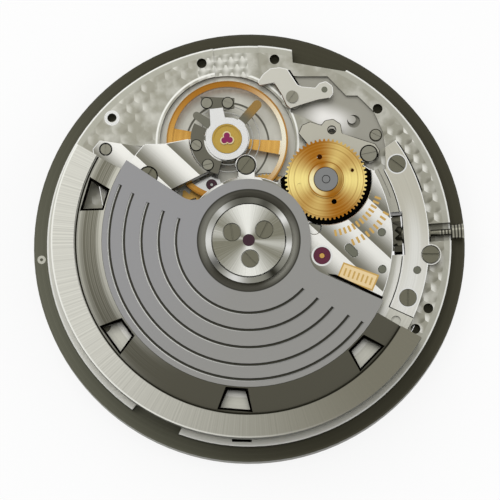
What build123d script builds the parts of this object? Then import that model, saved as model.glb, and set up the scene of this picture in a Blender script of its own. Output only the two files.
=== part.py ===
from build123d import *
from math import acos, asin, atan2, cos, degrees, hypot, pi, radians, sin, sqrt
import os

# A self-winding watch movement, seen from the back of the watch.
# Millimetres. Z points from the dial to the rotor, and X runs out along the winding stem.
# The origin is the middle of the underside of the ring that holds the movement.

# Ring and main plate
ring_radius = 14.0
ring_width = 2.1
ring_flange = 0.9
ring_bore = ring_radius - ring_width
ring_height = 1.75
ring_chamfer = 0.12
ring_mark_radius = 0.16
ring_mark_depth = 0.1
movement_radius = ring_radius - ring_flange
dial_seat = 1.1
plate_top = 2.7
seat_gap = 0.05
floor_height = 1.95
dial_recess_top = 1.8
overrun = 0.5
part_gap = 0.08
press_gap = 0.004
pivot_gap = 0.02

# Levels of the bridges and of what they carry
base_bridge_low = 3.25
base_bridge_top = 3.55
cover_bridge_low = 4.15
cover_bridge_top = 4.7
recess_floor = 4.35
edge_bridge_top = 3.45
cock_low = 3.7
cock_top = 4.45
cock_disc_top = 4.1
cock_foot_top = 3.5
rotor_low = 3.95

# Where the wheels stand, seen from above, as shares of the movement's radius
balance_place_shares = (-0.0733, 0.5191)
pallet_place_shares = (-0.1649, 0.3122)
escape_place_shares = (-0.2366, 0.1504)
third_place_shares = (0.0992, 0.1718)
barrel_place_shares = (0.2595, -0.3969)
gold_place_shares = (0.4000, 0.2809)
reduction_place_shares = (0.3542, -0.0962)
centre = (0.0, 0.0)

# Teeth: height above and below the pitch circle, as shares of the module
addendum_share = 0.7
dedendum_share = 0.9
tooth_top_share = 0.34
tooth_foot_share = 0.62

rotor_teeth = 84
gold_teeth = 57
clutch_teeth = 24
reduction_teeth = 60
reduction_leaves = 8
ratchet_teeth = 42
crown_teeth = 24
idler_teeth = 11
winding_teeth = 14
barrel_teeth = 72
centre_leaves = 12
centre_teeth = 64
third_leaves = 8
third_teeth = 60
fourth_leaves = 8
fourth_teeth = 72
escape_leaves = 6
escape_teeth = 20
cannon_leaves = 10
minute_teeth = 30
minute_leaves = 8
hour_teeth = 32
setting_teeth = 18
sliding_teeth = 12

# Stem and winding work: sizes first, then the places along X
stem_height = 2.48
stem_end_gap = 0.05
thread_length = 0.8
neck_length = 1.4
pilot_length = 1.0
square_length = 1.92
pilot_radius = 0.28
square_side = 0.56
journal_radius = 0.46
stem_radius = 0.56
neck_radius = 0.2
thread_radius = 0.485
groove_radius = 0.33
groove_offset = 0.42
groove_width = 0.5
stem_travel = 0.9
sliding_travel = 0.5
sliding_radius = 0.76
sliding_tooth_height = 0.1
sliding_length = 1.02
sliding_groove_radius = 0.56
sliding_groove_inset = 0.36
sliding_groove_width = 0.36
winding_tooth_length = 0.57
winding_hub_length = 0.64
winding_hub_radius = 0.72
winding_bridge_gap = 0.69
pinion_gap = 0.04
mesh_share = 0.4
face_tooth_depth = 0.14
face_teeth = 10
stem_running_gap = 0.03

# Wheel levels, from the dial side up
cover_thickness = 0.12
hour_wheel_low = 1.28
dial_wheel_thickness = 0.12
minute_wheel_low = 1.64
hour_pipe_end = 0.62
cannon_pipe_end = 0.37
seconds_end = 0.12
barrel_low = 2.05
barrel_tooth_height = 0.3
centre_leaf_low = 2.03
centre_wheel_low = 2.42
train_thickness = 0.1
third_leaf_low = 2.38
third_wheel_low = 2.62
fourth_leaf_low = 2.57
fourth_wheel_low = 2.8
escape_leaf_low = 2.76
escape_leaf_height = 0.18
escape_wheel_low = 2.18
escape_thickness = 0.12
ratchet_low = 3.62
ratchet_thickness = 0.18
reduction_low = 3.9
reduction_thickness = 0.12
gold_low = 4.4
gold_thickness = 0.18
gold_boss_height = 0.1

# Arbors, pivots and pipes
seconds_radius = 0.12
centre_bore = 0.15
centre_arbor_radius = 0.26
cannon_bore = 0.28
cannon_radius = 0.45
hour_bore = 0.48
hour_radius = 0.75
train_arbor_radius = 0.16
train_pivot_radius = 0.09
jewel_height = 0.16
small_jewel_radius = 0.36
barrel_arbor_radius = 0.75
barrel_pivot_radius = 0.45
barrel_square = 0.5
barrel_wall = 0.16
barrel_floor = 0.12
barrel_lid = 0.1
barrel_lid_low = 2.64
mainspring_thickness = 0.09
mainspring_turns = 6
clutch_hub_radius = 0.6
clutch_arbor_radius = 0.3
gold_boss_radius = 1.22

# Balance
rim_share = 0.3008
rim_radius = movement_radius * rim_share
rim_width = 0.39
rim_low = 2.95
rim_height = 0.4
spoke_low = 3.02
spoke_height = 0.12
spoke_angle = -10.5
spoke_inner_width = 0.42
spoke_outer_width = 0.95
balance_hub_radius = 0.55
balance_room = 0.46
staff_radius = 0.2
staff_pivot_radius = 0.05
roller_radius = 0.62
roller_low = 2.36
roller_height = 0.1
impulse_radius = 0.07
impulse_reach = 0.42
collet_radius = 0.42
collet_low = 3.44
collet_height = 0.18
hairspring_low = 3.47
hairspring_height = 0.1
hairspring_thickness = 0.05
hairspring_inner = 0.6
hairspring_pitch = 0.46
hairspring_half_turns = 8
shock_radius = 0.96
shock_low = 3.86
shock_height = 0.56
shock_bore = 0.42
cap_jewel_height = 0.12
lower_shock_low = 1.16
regulator_radius = 1.38
regulator_low = 4.26
regulator_height = 0.12
carrier_low = 4.12
carrier_height = 0.12
ring_room = 0.02

# Rotor
core_top = 5.25
core_flange_height = 0.24
core_cap_height = 0.18
race_radius_share = 0.212977
race_wall = 0.29
race_lip_wall = 0.37
core_play = 0.08
ball_inset = 0.2
neck_inset = 0.22
collar_width = 0.49
ball_radius = 0.18
ball_count = 5
race_low = 4.42
race_top = 5.2
web_hub_radius = 4.0
web_low = 4.85
web_thickness = 0.25
web_start = 142.6
web_end = 332.0
rotor_edge_gap = 0.35
weight_width = 3.33
ledge_width = 0.07
outer_band = 1.65
rim_groove_width = 0.18
window_inset = 0.05
window_margin = 0.08
web_gap = 0.02
race_radius = movement_radius * race_radius_share
race_bore = race_radius - race_wall
race_lip_bore = race_radius - race_lip_wall
core_radius = race_lip_bore - core_play
ball_circle = race_bore - ball_inset
core_neck_radius = ball_circle - neck_inset
collar_radius = race_radius + collar_width
weight_outer = movement_radius - rotor_edge_gap
weight_inner = weight_outer - weight_width
weight_ledge = weight_inner + ledge_width
weight_step = weight_outer - outer_band
weight_groove = weight_step + rim_groove_width
window_inner = weight_ledge + window_inset
window_outer = weight_step - window_margin
web_radius = weight_ledge - web_gap
weight_start = 146.6
weight_end = 326.6
weight_inner_top = 5.08
weight_step_top = 4.78
weight_rim_top = 5.12
groove_width_rotor = 0.22
groove_depth = 0.14
groove_shares = (0.4984, 0.6157, 0.7330, 0.8524, 0.9529)
window_angles = (159.9, 211.9, 261.5, 312.3)
window_inner_width = 1.43
window_outer_width = 2.3
rotor_gear_low = 4.42
rotor_gear_thickness = 0.18
core_screw_circle = 1.2
core_screw_turn = 30.5

core_screw_head = 0.55
core_screw_sink = 0.3
core_jewel_radius = 0.39

# Small plates and levers on the base
stop_plate_low = 3.25
stop_plate_top = 3.5
hack_low = 3.0
hack_top = 3.25
end_stop_low = 3.65
end_plate_low = 3.76
end_plate_top = 3.86
clamp_thickness = 0.14
pallet_bridge_low = 2.6
pallet_bridge_top = 2.85
balance_floor = 2.1
corner_pocket_low = 2.35
step_pocket_low = 2.5
rotor_clearance = 0.14
high_radius = weight_inner - rotor_clearance
bridge_margin = 0.7
low_radius = movement_radius - bridge_margin

# Screws: head radius, head height, shank radius
large_head = 0.5
head_sink = 0.04
plate_bite = 1.0
cover_head = 0.45
slot_width_share = 0.24
slot_depth_share = 0.45
bridge_head = 0.55
bridge_head_height = 0.32
bridge_shank = 0.3
small_head = 0.34
small_head_height = 0.16
small_shank = 0.18
screw_bite = 0.5
head_gap = 0.05
shank_gap = 0.01

# Smaller sizes of the plate, the bridges and the levers
rim_modules_share = 3.4
dial_module_share = 0.01966292
lever_post_radius = 0.28
lever_room_gap = 0.38
recess_gap = 0.25
hand_room = 0.53
lever_low = 1.28
lever_thickness = 0.2
lever_offset = 2.5
lever_pin_radius = 0.12
cock_screw_turn = 55.0
pallet_screw_turn = 12.0
eccentric_turn = 48.0
eccentric_head = 0.55
tongue_neck = 1.1
lobe_rim = 0.13
pocket_gap = 0.12
pinion_room = 1.4
click_turn = 167
click_reach_share = 1.27
click_tip_share = 1.07
tiny_head = 0.33
tiny_head_height = 0.1
tiny_shank = 0.14
plate_hole_radius = 0.32
foot_margin = 2.5
foot_circle = movement_radius - foot_margin
hack_boss_radius = 0.75
stop_boss_radius = 0.55
foot_bore = 0.35
foot_depth = 0.6
centre_bush_radius = 0.6
barrel_bore_low = 1.45
pillar_radius = 0.45
pin_hole_radius = 0.25
oil_hole_radius = 0.45
pin_hole_depth = 0.25
deep_hole_depth = 0.9
key_hole_radius = 0.42
key_pin_radius = 0.26
key_shift = 0.12
key_depth = 0.38
pit_disc_radius = 2.74
pit_disc_depth = 0.08
tongue_radius = 0.7
cock_step_radius = 2.46
cock_disc_radius = 1.45
pallet_boss = 0.6
cover_gap = 0.04
spring_room = 0.06
square_gap = 0.01
keeper_gap = 0.02
web_fillet = 1.3
stud_turn = 138
carrier_arm_turn = 134
cover_rim = 0.3
ratchet_screw_radius = 0.7
crown_post_radius = 0.6
idler_post_radius = 0.35
crown_keeper_radius = 0.95
idler_keeper_radius = 0.55
keeper_thickness = 0.07
reduction_hub = 1.0
wheel_spokes = 5
reduction_spoke = 0.45
arbor_room = 0.06
through_hole_circle = 1.53
through_hole_radius = 0.17
blind_hole_circle = 1.75
blind_hole_radius = 0.15
cap_sink = 0.06
cap_height = 0.1
pivot_tip_height = 0.04
race_lip_height = 0.11
groove_spread = 169.1
groove_taper = 25.5
groove_shift = -0.9
weight_groove_depth = 0.12
centre_hub = 0.7
train_spoke = 0.3
centre_arbor_set = 0.2
train_hub = 0.55
escape_foot_share = 0.82
escape_rim_share = 0.66
tooth_lean_share = 0.3
tooth_back_share = 0.48
escape_spokes = 4
escape_spoke = 0.26
escape_hub = 0.45
pallet_teeth_span = 2.5
arm_tip_reach = 0.3
fork_hub = 0.28
fork_arm = 0.2
horn_length = 0.42
stone_length = 0.36
stone_width = 0.16
lower_staff_lift = 0.55
hole_jewel_height = 0.12
shoulder_height = 0.15
shock_skirt = 0.14
shock_seat_depth = 0.2
shock_seat_radius = 0.86
cap_jewel_lift = 0.2
trefoil_radius = 0.19
trefoil_circle = 0.22
shock_spring_thickness = 0.07
carrier_arm_width = 0.3
stud_radius = 0.13
index_turn = 45.0
index_reach = 2.95
cannon_overlap = 0.04
minute_post_radius = 0.2
setting_post_radius = 0.3
face_tooth_width = 0.16
lever_head = 0.45
lever_tip = 0.24
click_tip_radius = 0.2
lower_hole_lift = 0.62
lower_cap_lift = 0.4
cover_jewel_height = 0.2
cover_jewel_radius = 0.55
hole_jewel_bore = 0.14
pocket_overlap = 0.18
pocket_sides = 6
pocket_inner = high_radius - pocket_overlap
pocket_start = 32.5
pocket_end = 69.0
edge_slit = 0.3
ledge_spread = 8.0
edge_end = 60.0
strip_end = 26.5
strip_gap = 0.06
strip_line_start = 14.2
strip_line_width = 0.06
strip_line_depth = 0.15
winding_margin = 1.45
winding_outer = movement_radius - winding_margin
winding_from = -28.3
winding_to = 31.6
edge_start = winding_from - edge_slit
ledge_end = edge_start - ledge_spread
gold_gap = 0.3
hub_rim = 0.25
cover_start = -152.0
cover_end = 25.6
clamp_inner = 1.5
clamp_outer = 2.36
clamp_start = 150.0
clamp_end = 252.0
pallet_post_radius = 0.5
plate_hole_depth = 1.2

# Places along the stem
winding_inner = high_radius + winding_bridge_gap
winding_end = winding_inner - pinion_gap
winding_tooth_start = winding_end - winding_tooth_length
winding_start = winding_tooth_start - winding_hub_length
sliding_end = winding_start - part_gap
sliding_start = sliding_end - sliding_length
sliding_groove_start = sliding_start + sliding_groove_inset
sliding_groove_end = sliding_groove_start + sliding_groove_width
journal_start = sliding_end - pivot_gap
square_start = journal_start - square_length
stem_inner_end = square_start - pilot_length
groove_middle = winding_end + groove_offset
stem_outer_end = ring_radius - stem_end_gap
stem_neck_end = stem_outer_end - thread_length
stem_shoulder = stem_neck_end - neck_length

os.makedirs("parts", exist_ok=True)


def polar(radius, angle, place=centre):
    """A point at a radius and an angle in degrees about a place."""
    return (place[0] + radius * cos(radians(angle)), place[1] + radius * sin(radians(angle)))


def spot(shares):
    """A place given as shares of the movement's radius."""
    return (shares[0] * movement_radius, shares[1] * movement_radius)


def spots(table):
    """Places given as shares of the movement's radius."""
    return [spot(shares) for shares in table]


def between(a, b):
    """The distance between two places."""
    return hypot(b[0] - a[0], b[1] - a[1])


def heading(a, b):
    """The direction from one place to another, in degrees."""
    return degrees(atan2(b[1] - a[1], b[0] - a[0]))


def level(height, place=centre):
    """A level plane at a height, with its origin over a place."""
    return Plane((place[0], place[1], height))


def meeting_place(a, b, from_a, from_b, side):
    """The place at given distances from two others, on the left (1) or right (-1) of a to b."""
    apart = between(a, b)
    along = (apart**2 + from_a**2 - from_b**2) / (2 * apart)
    across = side * sqrt(from_a**2 - along**2)
    turn = radians(heading(a, b))
    return (
        a[0] + along * cos(turn) - across * sin(turn),
        a[1] + along * sin(turn) + across * cos(turn),
    )


def module_of(apart, teeth, more_teeth):
    """The module of two wheels that mesh at a centre distance."""
    return 2 * apart / (teeth + more_teeth)


def tooth_points(teeth, module, start=0.0, flat=False):
    """Points round a toothed wheel. A tooth space stands at the start angle."""
    pitch_radius = module * teeth / 2
    foot = pitch_radius - dedendum_share * module
    tip = pitch_radius + addendum_share * module
    step = 360 / teeth
    points = []
    for n in range(teeth):
        space = start + n * step
        if flat:
            points.append(polar(foot, space + step * (1 - tooth_foot_share) / 2))
            points.append(polar(tip, space + step * (1 - tooth_top_share) / 2))
            points.append(polar(tip, space + step * (1 + tooth_top_share) / 2))
            points.append(polar(foot, space + step * (1 + tooth_foot_share) / 2))
        else:
            points.append(polar(foot, space))
            points.append(polar(tip, space + step / 2))
    return points


def toothed_disc(place, low, thick, teeth, module, start=0.0, bore=0.0, flat=False):
    """A toothed disc with a round hole."""
    with BuildPart() as disc:
        with BuildSketch(level(low, place)):
            with BuildLine():
                Polyline(*tooth_points(teeth, module, start, flat), close=True)
            make_face()
            if bore:
                Circle(bore, mode=Mode.SUBTRACT)
        extrude(amount=thick)
    return disc.part


def spoked_wheel(place, low, thick, teeth, module, start, hub, spokes, spoke_width):
    """A toothed wheel crossed out to a rim, spokes and a hub."""
    rim_inner = module * (teeth / 2 - rim_modules_share)
    with BuildPart() as wheel:
        with BuildSketch(level(low, place)):
            with BuildLine():
                Polyline(*tooth_points(teeth, module, start), close=True)
            make_face()
            Circle(rim_inner, mode=Mode.SUBTRACT)
            with PolarLocations(0, spokes, start_angle=start):
                Rectangle(rim_inner + module, spoke_width, align=(Align.MIN, Align.CENTER))
            Circle(hub)
        extrude(amount=thick)
    return wheel.part


def turned(place, steps, bore=0.0):
    """A turned piece about a standing axis: a list of (radius, low, high)."""
    with BuildPart() as piece:
        for radius, low, high in steps:
            with BuildSketch(level(low, place)):
                Circle(radius)
                if bore:
                    Circle(bore, mode=Mode.SUBTRACT)
            extrude(amount=high - low)
    return piece.part


def washer(place, low, high, outer, inner):
    """A flat ring."""
    return turned(place, [(outer, low, high)], inner)


def plate_of(points, low, high):
    """A flat piece with a straight-sided outline."""
    with BuildPart() as piece:
        with BuildSketch(level(low)):
            with BuildLine():
                Polyline(*points, close=True)
            make_face()
        extrude(amount=high - low)
    return piece.part


def ring_sector(inner, outer, start, end, low, high, place=centre):
    """A sector of a flat ring, from one angle to another."""
    middle = (start + end) / 2
    with BuildPart() as piece:
        with BuildSketch(level(low, place)):
            with BuildLine():
                ThreePointArc(polar(inner, start), polar(inner, middle), polar(inner, end))
                Line(polar(inner, end), polar(outer, end))
                ThreePointArc(polar(outer, end), polar(outer, middle), polar(outer, start))
                Line(polar(outer, start), polar(inner, start))
            make_face()
        extrude(amount=high - low)
    return piece.part


def slotted_screw(place, seat, head, head_height, shank, length, slot_angle):
    """A cheese-headed screw whose head sits on a seat."""
    with BuildPart() as screw:
        with BuildSketch(level(seat, place)):
            Circle(head)
        extrude(amount=head_height)
        with BuildSketch(level(seat, place)):
            Circle(shank)
        extrude(amount=-length)
        with BuildSketch(level(seat + head_height, place)):
            Rectangle(3 * head, head * slot_width_share, rotation=slot_angle)
        extrude(amount=-head_height * slot_depth_share, mode=Mode.SUBTRACT)
    return screw.part


def screw_room(place, seat, head, shank, length):
    """The counterbored hole that a screw fits."""
    with BuildPart() as room:
        with BuildSketch(level(seat, place)):
            Circle(head + head_gap)
        extrude(amount=overrun * 4)
        with BuildSketch(level(seat, place)):
            Circle(shank + shank_gap)
        extrude(amount=-length)
    return room.part


# Places of the wheels, and what follows from the teeth that mesh
balance_place = spot(balance_place_shares)
pallet_place = spot(pallet_place_shares)
escape_place = spot(escape_place_shares)
third_place = spot(third_place_shares)
barrel_place = spot(barrel_place_shares)
gold_place = spot(gold_place_shares)
reduction_place = spot(reduction_place_shares)
auto_module = module_of(between(gold_place, reduction_place), clutch_teeth, reduction_teeth)
winding_module = module_of(between(barrel_place, reduction_place), ratchet_teeth, reduction_leaves)
ratchet_pitch = winding_module * ratchet_teeth / 2
crown_pitch = winding_module * crown_teeth / 2
crown_place = (winding_tooth_start + mesh_share * winding_tooth_length - crown_pitch, 0.0)
idler_pitch = winding_module * idler_teeth / 2
idler_place = meeting_place(
    barrel_place, crown_place, ratchet_pitch + idler_pitch, crown_pitch + idler_pitch, -1
)
rotor_module = module_of(between(centre, gold_place), rotor_teeth, gold_teeth)
barrel_module = module_of(between(centre, barrel_place), barrel_teeth, centre_leaves)
centre_module = module_of(between(centre, third_place), centre_teeth, third_leaves)
third_module = module_of(between(centre, third_place), third_teeth, fourth_leaves)
fourth_module = module_of(between(centre, escape_place), fourth_teeth, escape_leaves)
setting_reach = sliding_start - sliding_travel
dial_module = setting_reach * dial_module_share
cannon_pitch = dial_module * cannon_leaves / 2
minute_pitch = dial_module * minute_teeth / 2
setting_pitch = dial_module * setting_teeth / 2
setting_place = (setting_reach - setting_pitch + addendum_share * dial_module / 2, 0.0)
minute_place = meeting_place(
    centre, setting_place, cannon_pitch + minute_pitch, minute_pitch + setting_pitch, -1
)
hour_module = module_of(between(centre, minute_place), hour_teeth, minute_leaves)

# The yoke and the setting lever turn about posts beside the stem
lever_post_place = (groove_middle + stem_travel / 2, lever_offset)
yoke_groove = (sliding_groove_start + sliding_groove_end) / 2
yoke_post_place = (yoke_groove - sliding_travel / 2, lever_offset)

# Screws that hold the bridges: place and slot angle
edge_screw_shares = [(0.7565, 0.3466), (0.8904, -0.1151), (0.7635, -0.3218)]
edge_screw_turns = [-41.0, -4.0, 86.0]
base_screw_shares = [(0.6565, -0.6031), (-0.2977, -0.7939), (-0.7481, -0.3511), (-0.7939, 0.0153)]
base_screw_turns = [20.0, 65.0, -20.0, 110.0]
cover_screw_shares = [(-0.4885, -0.2595), (0.5687, -0.3473), (-0.1221, -0.6183)]
cover_screw_turns = [35.0, -60.0, 15.0]
cock_screw_shares = (-0.4740, 0.3603)
pallet_screw_shares = (-0.3168, 0.3779)
edge_screws = list(zip(spots(edge_screw_shares), edge_screw_turns))
base_screws = list(zip(spots(base_screw_shares), base_screw_turns))
cover_screws = list(zip(spots(cover_screw_shares), cover_screw_turns))
cock_screw_place = spot(cock_screw_shares)
pallet_screw_place = spot(pallet_screw_shares)
balance_room_radius = rim_radius + balance_room
fourth_room = fourth_module * (fourth_teeth / 2 + addendum_share) + pocket_gap
third_room = third_module * (third_teeth / 2 + addendum_share) + pocket_gap
barrel_room = barrel_module * (barrel_teeth / 2 + addendum_share) + pocket_gap
pallet_spread = pallet_teeth_span * 180 / escape_teeth
escape_tip = between(pallet_place, escape_place) * cos(radians(pallet_spread))
escape_room = escape_tip + pocket_gap
stem_slot = stem_radius + stem_running_gap
pinion_bay_start = winding_start - part_gap
pinion_bay_end = winding_end + part_gap
sliding_bay = sliding_radius + part_gap
sliding_bay_start = sliding_start - sliding_travel - part_gap


def box_between(low_corner, high_corner):
    """A box from its lowest corner to its highest."""
    with BuildPart() as box:
        with Locations(Vector(*low_corner)):
            Box(*(b - a for a, b in zip(low_corner, high_corner)), align=(Align.MIN,) * 3)
    return box.part


def dial_recess(grow, low, high):
    """The recess on the dial side that holds the hand work and the setting work."""
    lever_room = lever_post_radius + lever_room_gap + grow
    with BuildPart() as recess:
        with BuildSketch(level(low)):
            Circle(hour_module * hour_teeth / 2 + recess_gap + grow)
            with Locations(minute_place):
                Circle(minute_pitch + recess_gap + grow)
            with Locations(setting_place):
                Circle(setting_pitch + recess_gap + grow)
            with BuildLine():
                Polyline(
                    (setting_place[0], -setting_pitch - grow),
                    (setting_reach, -sliding_bay - grow),
                    (groove_middle + stem_travel + lever_tip + pocket_gap, -sliding_bay - grow),
                    (lever_post_place[0] + lever_room, lever_offset),
                    (lever_post_place[0], lever_offset + lever_room),
                    (yoke_post_place[0] - lever_room, lever_offset + lever_room),
                    (setting_place[0], setting_pitch + grow),
                    close=True,
                )
            make_face()
        extrude(amount=high - low)
    return recess.part


def screw_group(screws):
    """Screws as separate solids: (place, seat, head, head height, shank, length, slot angle)."""
    with BuildPart() as group:
        for screw in screws:
            add(slotted_screw(*screw))
    return group.part


def screw_rooms(screws):
    """The counterbored holes for a group of screws."""
    with BuildPart() as group:
        for place, seat, head, head_height, shank, length, slot_angle in screws:
            add(screw_room(place, seat, head, shank, length))
    return group.part


def save(piece, name):
    """Names a finished piece and writes it."""
    piece.label = name
    export_step(piece, f"parts/{name}.step")


# Every screw and the room it needs
bridge_screw = (bridge_head, bridge_head_height, bridge_shank)
plate_bottom_of_bite = plate_top - screw_bite
edge_seat = edge_bridge_top - bridge_head_height
base_seat = base_bridge_top - bridge_head_height
cover_seat = cover_bridge_top - bridge_head_height
cock_seat = cock_top - bridge_head_height
bridge_screw_list = [
    (place, edge_seat, *bridge_screw, edge_seat - plate_bottom_of_bite, turn)
    for place, turn in edge_screws
]
bridge_screw_list += [
    (place, base_seat, *bridge_screw, base_seat - plate_bottom_of_bite, turn)
    for place, turn in base_screws
]
tongue_place = spot((0.0119, 0.3781))
tongue_seat = cover_bridge_top - small_head_height
cover_screw_list = [
    (place, cover_seat, cover_head, bridge_head_height, small_shank, cover_seat - base_bridge_low, turn)
    for place, turn in cover_screws
]
bridge_screw_list.append(
    (cock_screw_place, cock_seat, *bridge_screw, cock_seat - plate_bottom_of_bite, cock_screw_turn)
)
bridge_screw_list += cover_screw_list
bridge_screw_list.append((
    tongue_place, tongue_seat, eccentric_head, small_head_height, small_shank,
    tongue_seat - cover_bridge_low, eccentric_turn,
))

clamp_low = cock_disc_top
clamp_top = clamp_low + clamp_thickness
square_top = ratchet_low + ratchet_thickness
hack_place = spot((0.2626, 0.7183))
stop_screw_place = spot((0.6214, 0.4053))
pocket_screw_place = spot((0.6634, 0.5084))
ratchet_tip = winding_module * (ratchet_teeth / 2 + addendum_share)
click_pivot = polar(ratchet_tip * click_reach_share, click_turn, barrel_place)
click_tip = polar(ratchet_tip * click_tip_share, click_turn - 9, barrel_place)
click_seat = square_top + pivot_gap
foot_pin_place = spot((-0.6758, 0.5176))
foot_pin_seat = cock_foot_top - small_head_height
small_screw_list = [
    (stop_screw_place, stop_plate_top - head_sink, large_head, small_head_height, small_shank, plate_bite, 8.0),
    (hack_place, hack_top, large_head * 0.8, small_head_height, small_shank, 0.8 * plate_bite, 50.0),
    (pallet_screw_place, pallet_bridge_top - small_head_height, small_head - head_sink, small_head_height,
     small_shank, screw_bite, pallet_screw_turn),
    (pocket_screw_place, corner_pocket_low, small_head, small_head_height, small_shank, small_head_height, -30.0),
    (click_pivot, click_seat, small_head, small_head_height, small_shank, screw_bite, 20.0),
    (foot_pin_place, foot_pin_seat, small_head, small_head_height, small_shank, screw_bite, 85.0),
]
end_screw_places = spots([(-0.1618, 0.7099), (-0.0580, 0.7038)])
clamp_screw_places = spots([(-0.2267, 0.4977), (-0.1763, 0.3969)])
end_seat = end_plate_top - tiny_head_height / 2
clamp_seat = clamp_top - head_sink
cock_screw_list = [
    (end_screw_places[0], end_seat, tiny_head, tiny_head_height, tiny_shank, end_seat - end_stop_low, 70.0),
    (end_screw_places[1], end_seat, tiny_head, tiny_head_height, tiny_shank, end_seat - end_stop_low, -25.0),
    (clamp_screw_places[0], clamp_seat, tiny_head, small_head_height, tiny_shank, clamp_seat - cock_low, -40.0),
    (clamp_screw_places[1], clamp_seat, tiny_head, small_head_height, tiny_shank, clamp_seat - cock_low, 10.0),
]
core_screw_places = [polar(core_screw_circle, core_screw_turn + 120 * n) for n in range(3)]
core_screw_seat = core_top - core_screw_sink
core_screw_list = [
    (place, core_screw_seat, core_screw_head, 0.8 * core_screw_sink, small_shank,
     core_screw_seat - cover_bridge_low, 60 + 35 * n)
    for n, place in enumerate(core_screw_places)
]

# Ring that holds the movement in its case
with BuildPart() as casing_ring:
    with BuildSketch(Plane.XZ):
        with BuildLine():
            Polyline(
                (ring_bore, 0),
                (ring_radius - ring_chamfer, 0),
                (ring_radius, ring_chamfer),
                (ring_radius, ring_height - ring_chamfer),
                (ring_radius - ring_chamfer, ring_height),
                (ring_bore, ring_height),
                close=True,
            )
        make_face()
    revolve(axis=Axis.Z)
    with BuildSketch(level(ring_height, polar((ring_radius + movement_radius) / 2, 180))):
        Circle(ring_mark_radius)
    extrude(amount=-ring_mark_depth, mode=Mode.SUBTRACT)
save(casing_ring.part, "casing_ring")

# Main plate with its rooms for the wheels, the stem and the setting work
high = plate_top + overrun
wheel_rooms = [
    washer(balance_place, balance_floor, high, balance_room_radius, 0),
    washer(centre, floor_height, high, fourth_room, 0),
    washer(third_place, floor_height, high, third_room, 0),
    washer(escape_place, floor_height, high, escape_room, 0),
    washer(barrel_place, floor_height, high, barrel_room, 0),
]
winding_bay = box_between(
    (pinion_bay_start, -pinion_room, 0), (pinion_bay_end, pinion_room, cover_bridge_low)
)
sliding_room = box_between(
    (sliding_bay_start, -sliding_bay, dial_seat),
    (pinion_bay_start, sliding_bay, base_bridge_low + part_gap),
)
stem_room = box_between(
    (pinion_bay_end, -stem_slot, stem_height - stem_slot),
    (ring_radius, stem_slot, stem_height + stem_slot),
)
pilot_room = box_between(
    (stem_inner_end - part_gap, -pilot_radius - stem_running_gap, stem_height - pilot_radius - stem_running_gap),
    (sliding_bay_start, pilot_radius + stem_running_gap, plate_top + part_gap),
)
pin_slot = box_between(
    (groove_middle - 2 * lever_pin_radius, -2 * lever_pin_radius, dial_seat),
    (groove_middle + stem_travel + 2 * lever_pin_radius, 3 * lever_pin_radius, stem_height),
)
dial_room = dial_recess(0, 0, dial_recess_top)
cover_room = dial_recess(cover_rim, 0, dial_seat + cover_thickness)
pocket_wall_shares = [
    (0.2700, 0.8300), (0.3090, 0.8255), (0.4451, 0.8162), (0.5301, 0.7134), (0.5865, 0.7096),
    (0.6608, 0.6250), (0.6989, 0.5205), (0.7053, 0.4405),
]
pocket_step = (pocket_end - pocket_start) / pocket_sides
pocket_side = [polar(pocket_inner, pocket_start + pocket_step * n) for n in range(pocket_sides + 1)]
corner_pocket = plate_of(pocket_side + spots(pocket_wall_shares), corner_pocket_low, high)
edge_cut_shares = [
    (0.2771, 1.0382), (0.2771, 0.8969), (0.5336, 0.8344), (0.7252, 0.9924),
]
edge_cut = plate_of(spots(edge_cut_shares), 0, high)
low_edge_cut_shares = [
    (-0.7023, -0.8550), (-0.6092, -0.7534), (-0.3901, -0.8779), (-0.4504, -0.9847),
]
low_edge_cut = plate_of(spots(low_edge_cut_shares), 0, high)
step_pocket_shares = [
    (-0.1160, 1.0382), (-0.1115, 0.8397), (0.1107, 0.8473), (0.1107, 1.0382),
]
step_pocket = plate_of(spots(step_pocket_shares), step_pocket_low, high)
plate_holes_shares = [
    (-0.6374, 0.6855), (-0.1740, 0.9244), (0.1882, 0.9192), (0.6817, 0.6366), (0.8611, -0.3748),
    (0.7908, -0.4718),
]
plate_holes = spots(plate_holes_shares)
foot_places = [polar(foot_circle, 62), polar(foot_circle, 242)]
stop_pin_place = spot((0.3626, 0.4924))
stop_hole_place = spot((0.4466, 0.5374))
key_place = spot((0.5505, 0.5948))
lower_jewel_low = floor_height - jewel_height
lower_pivot_low = lower_jewel_low + pivot_gap

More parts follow.
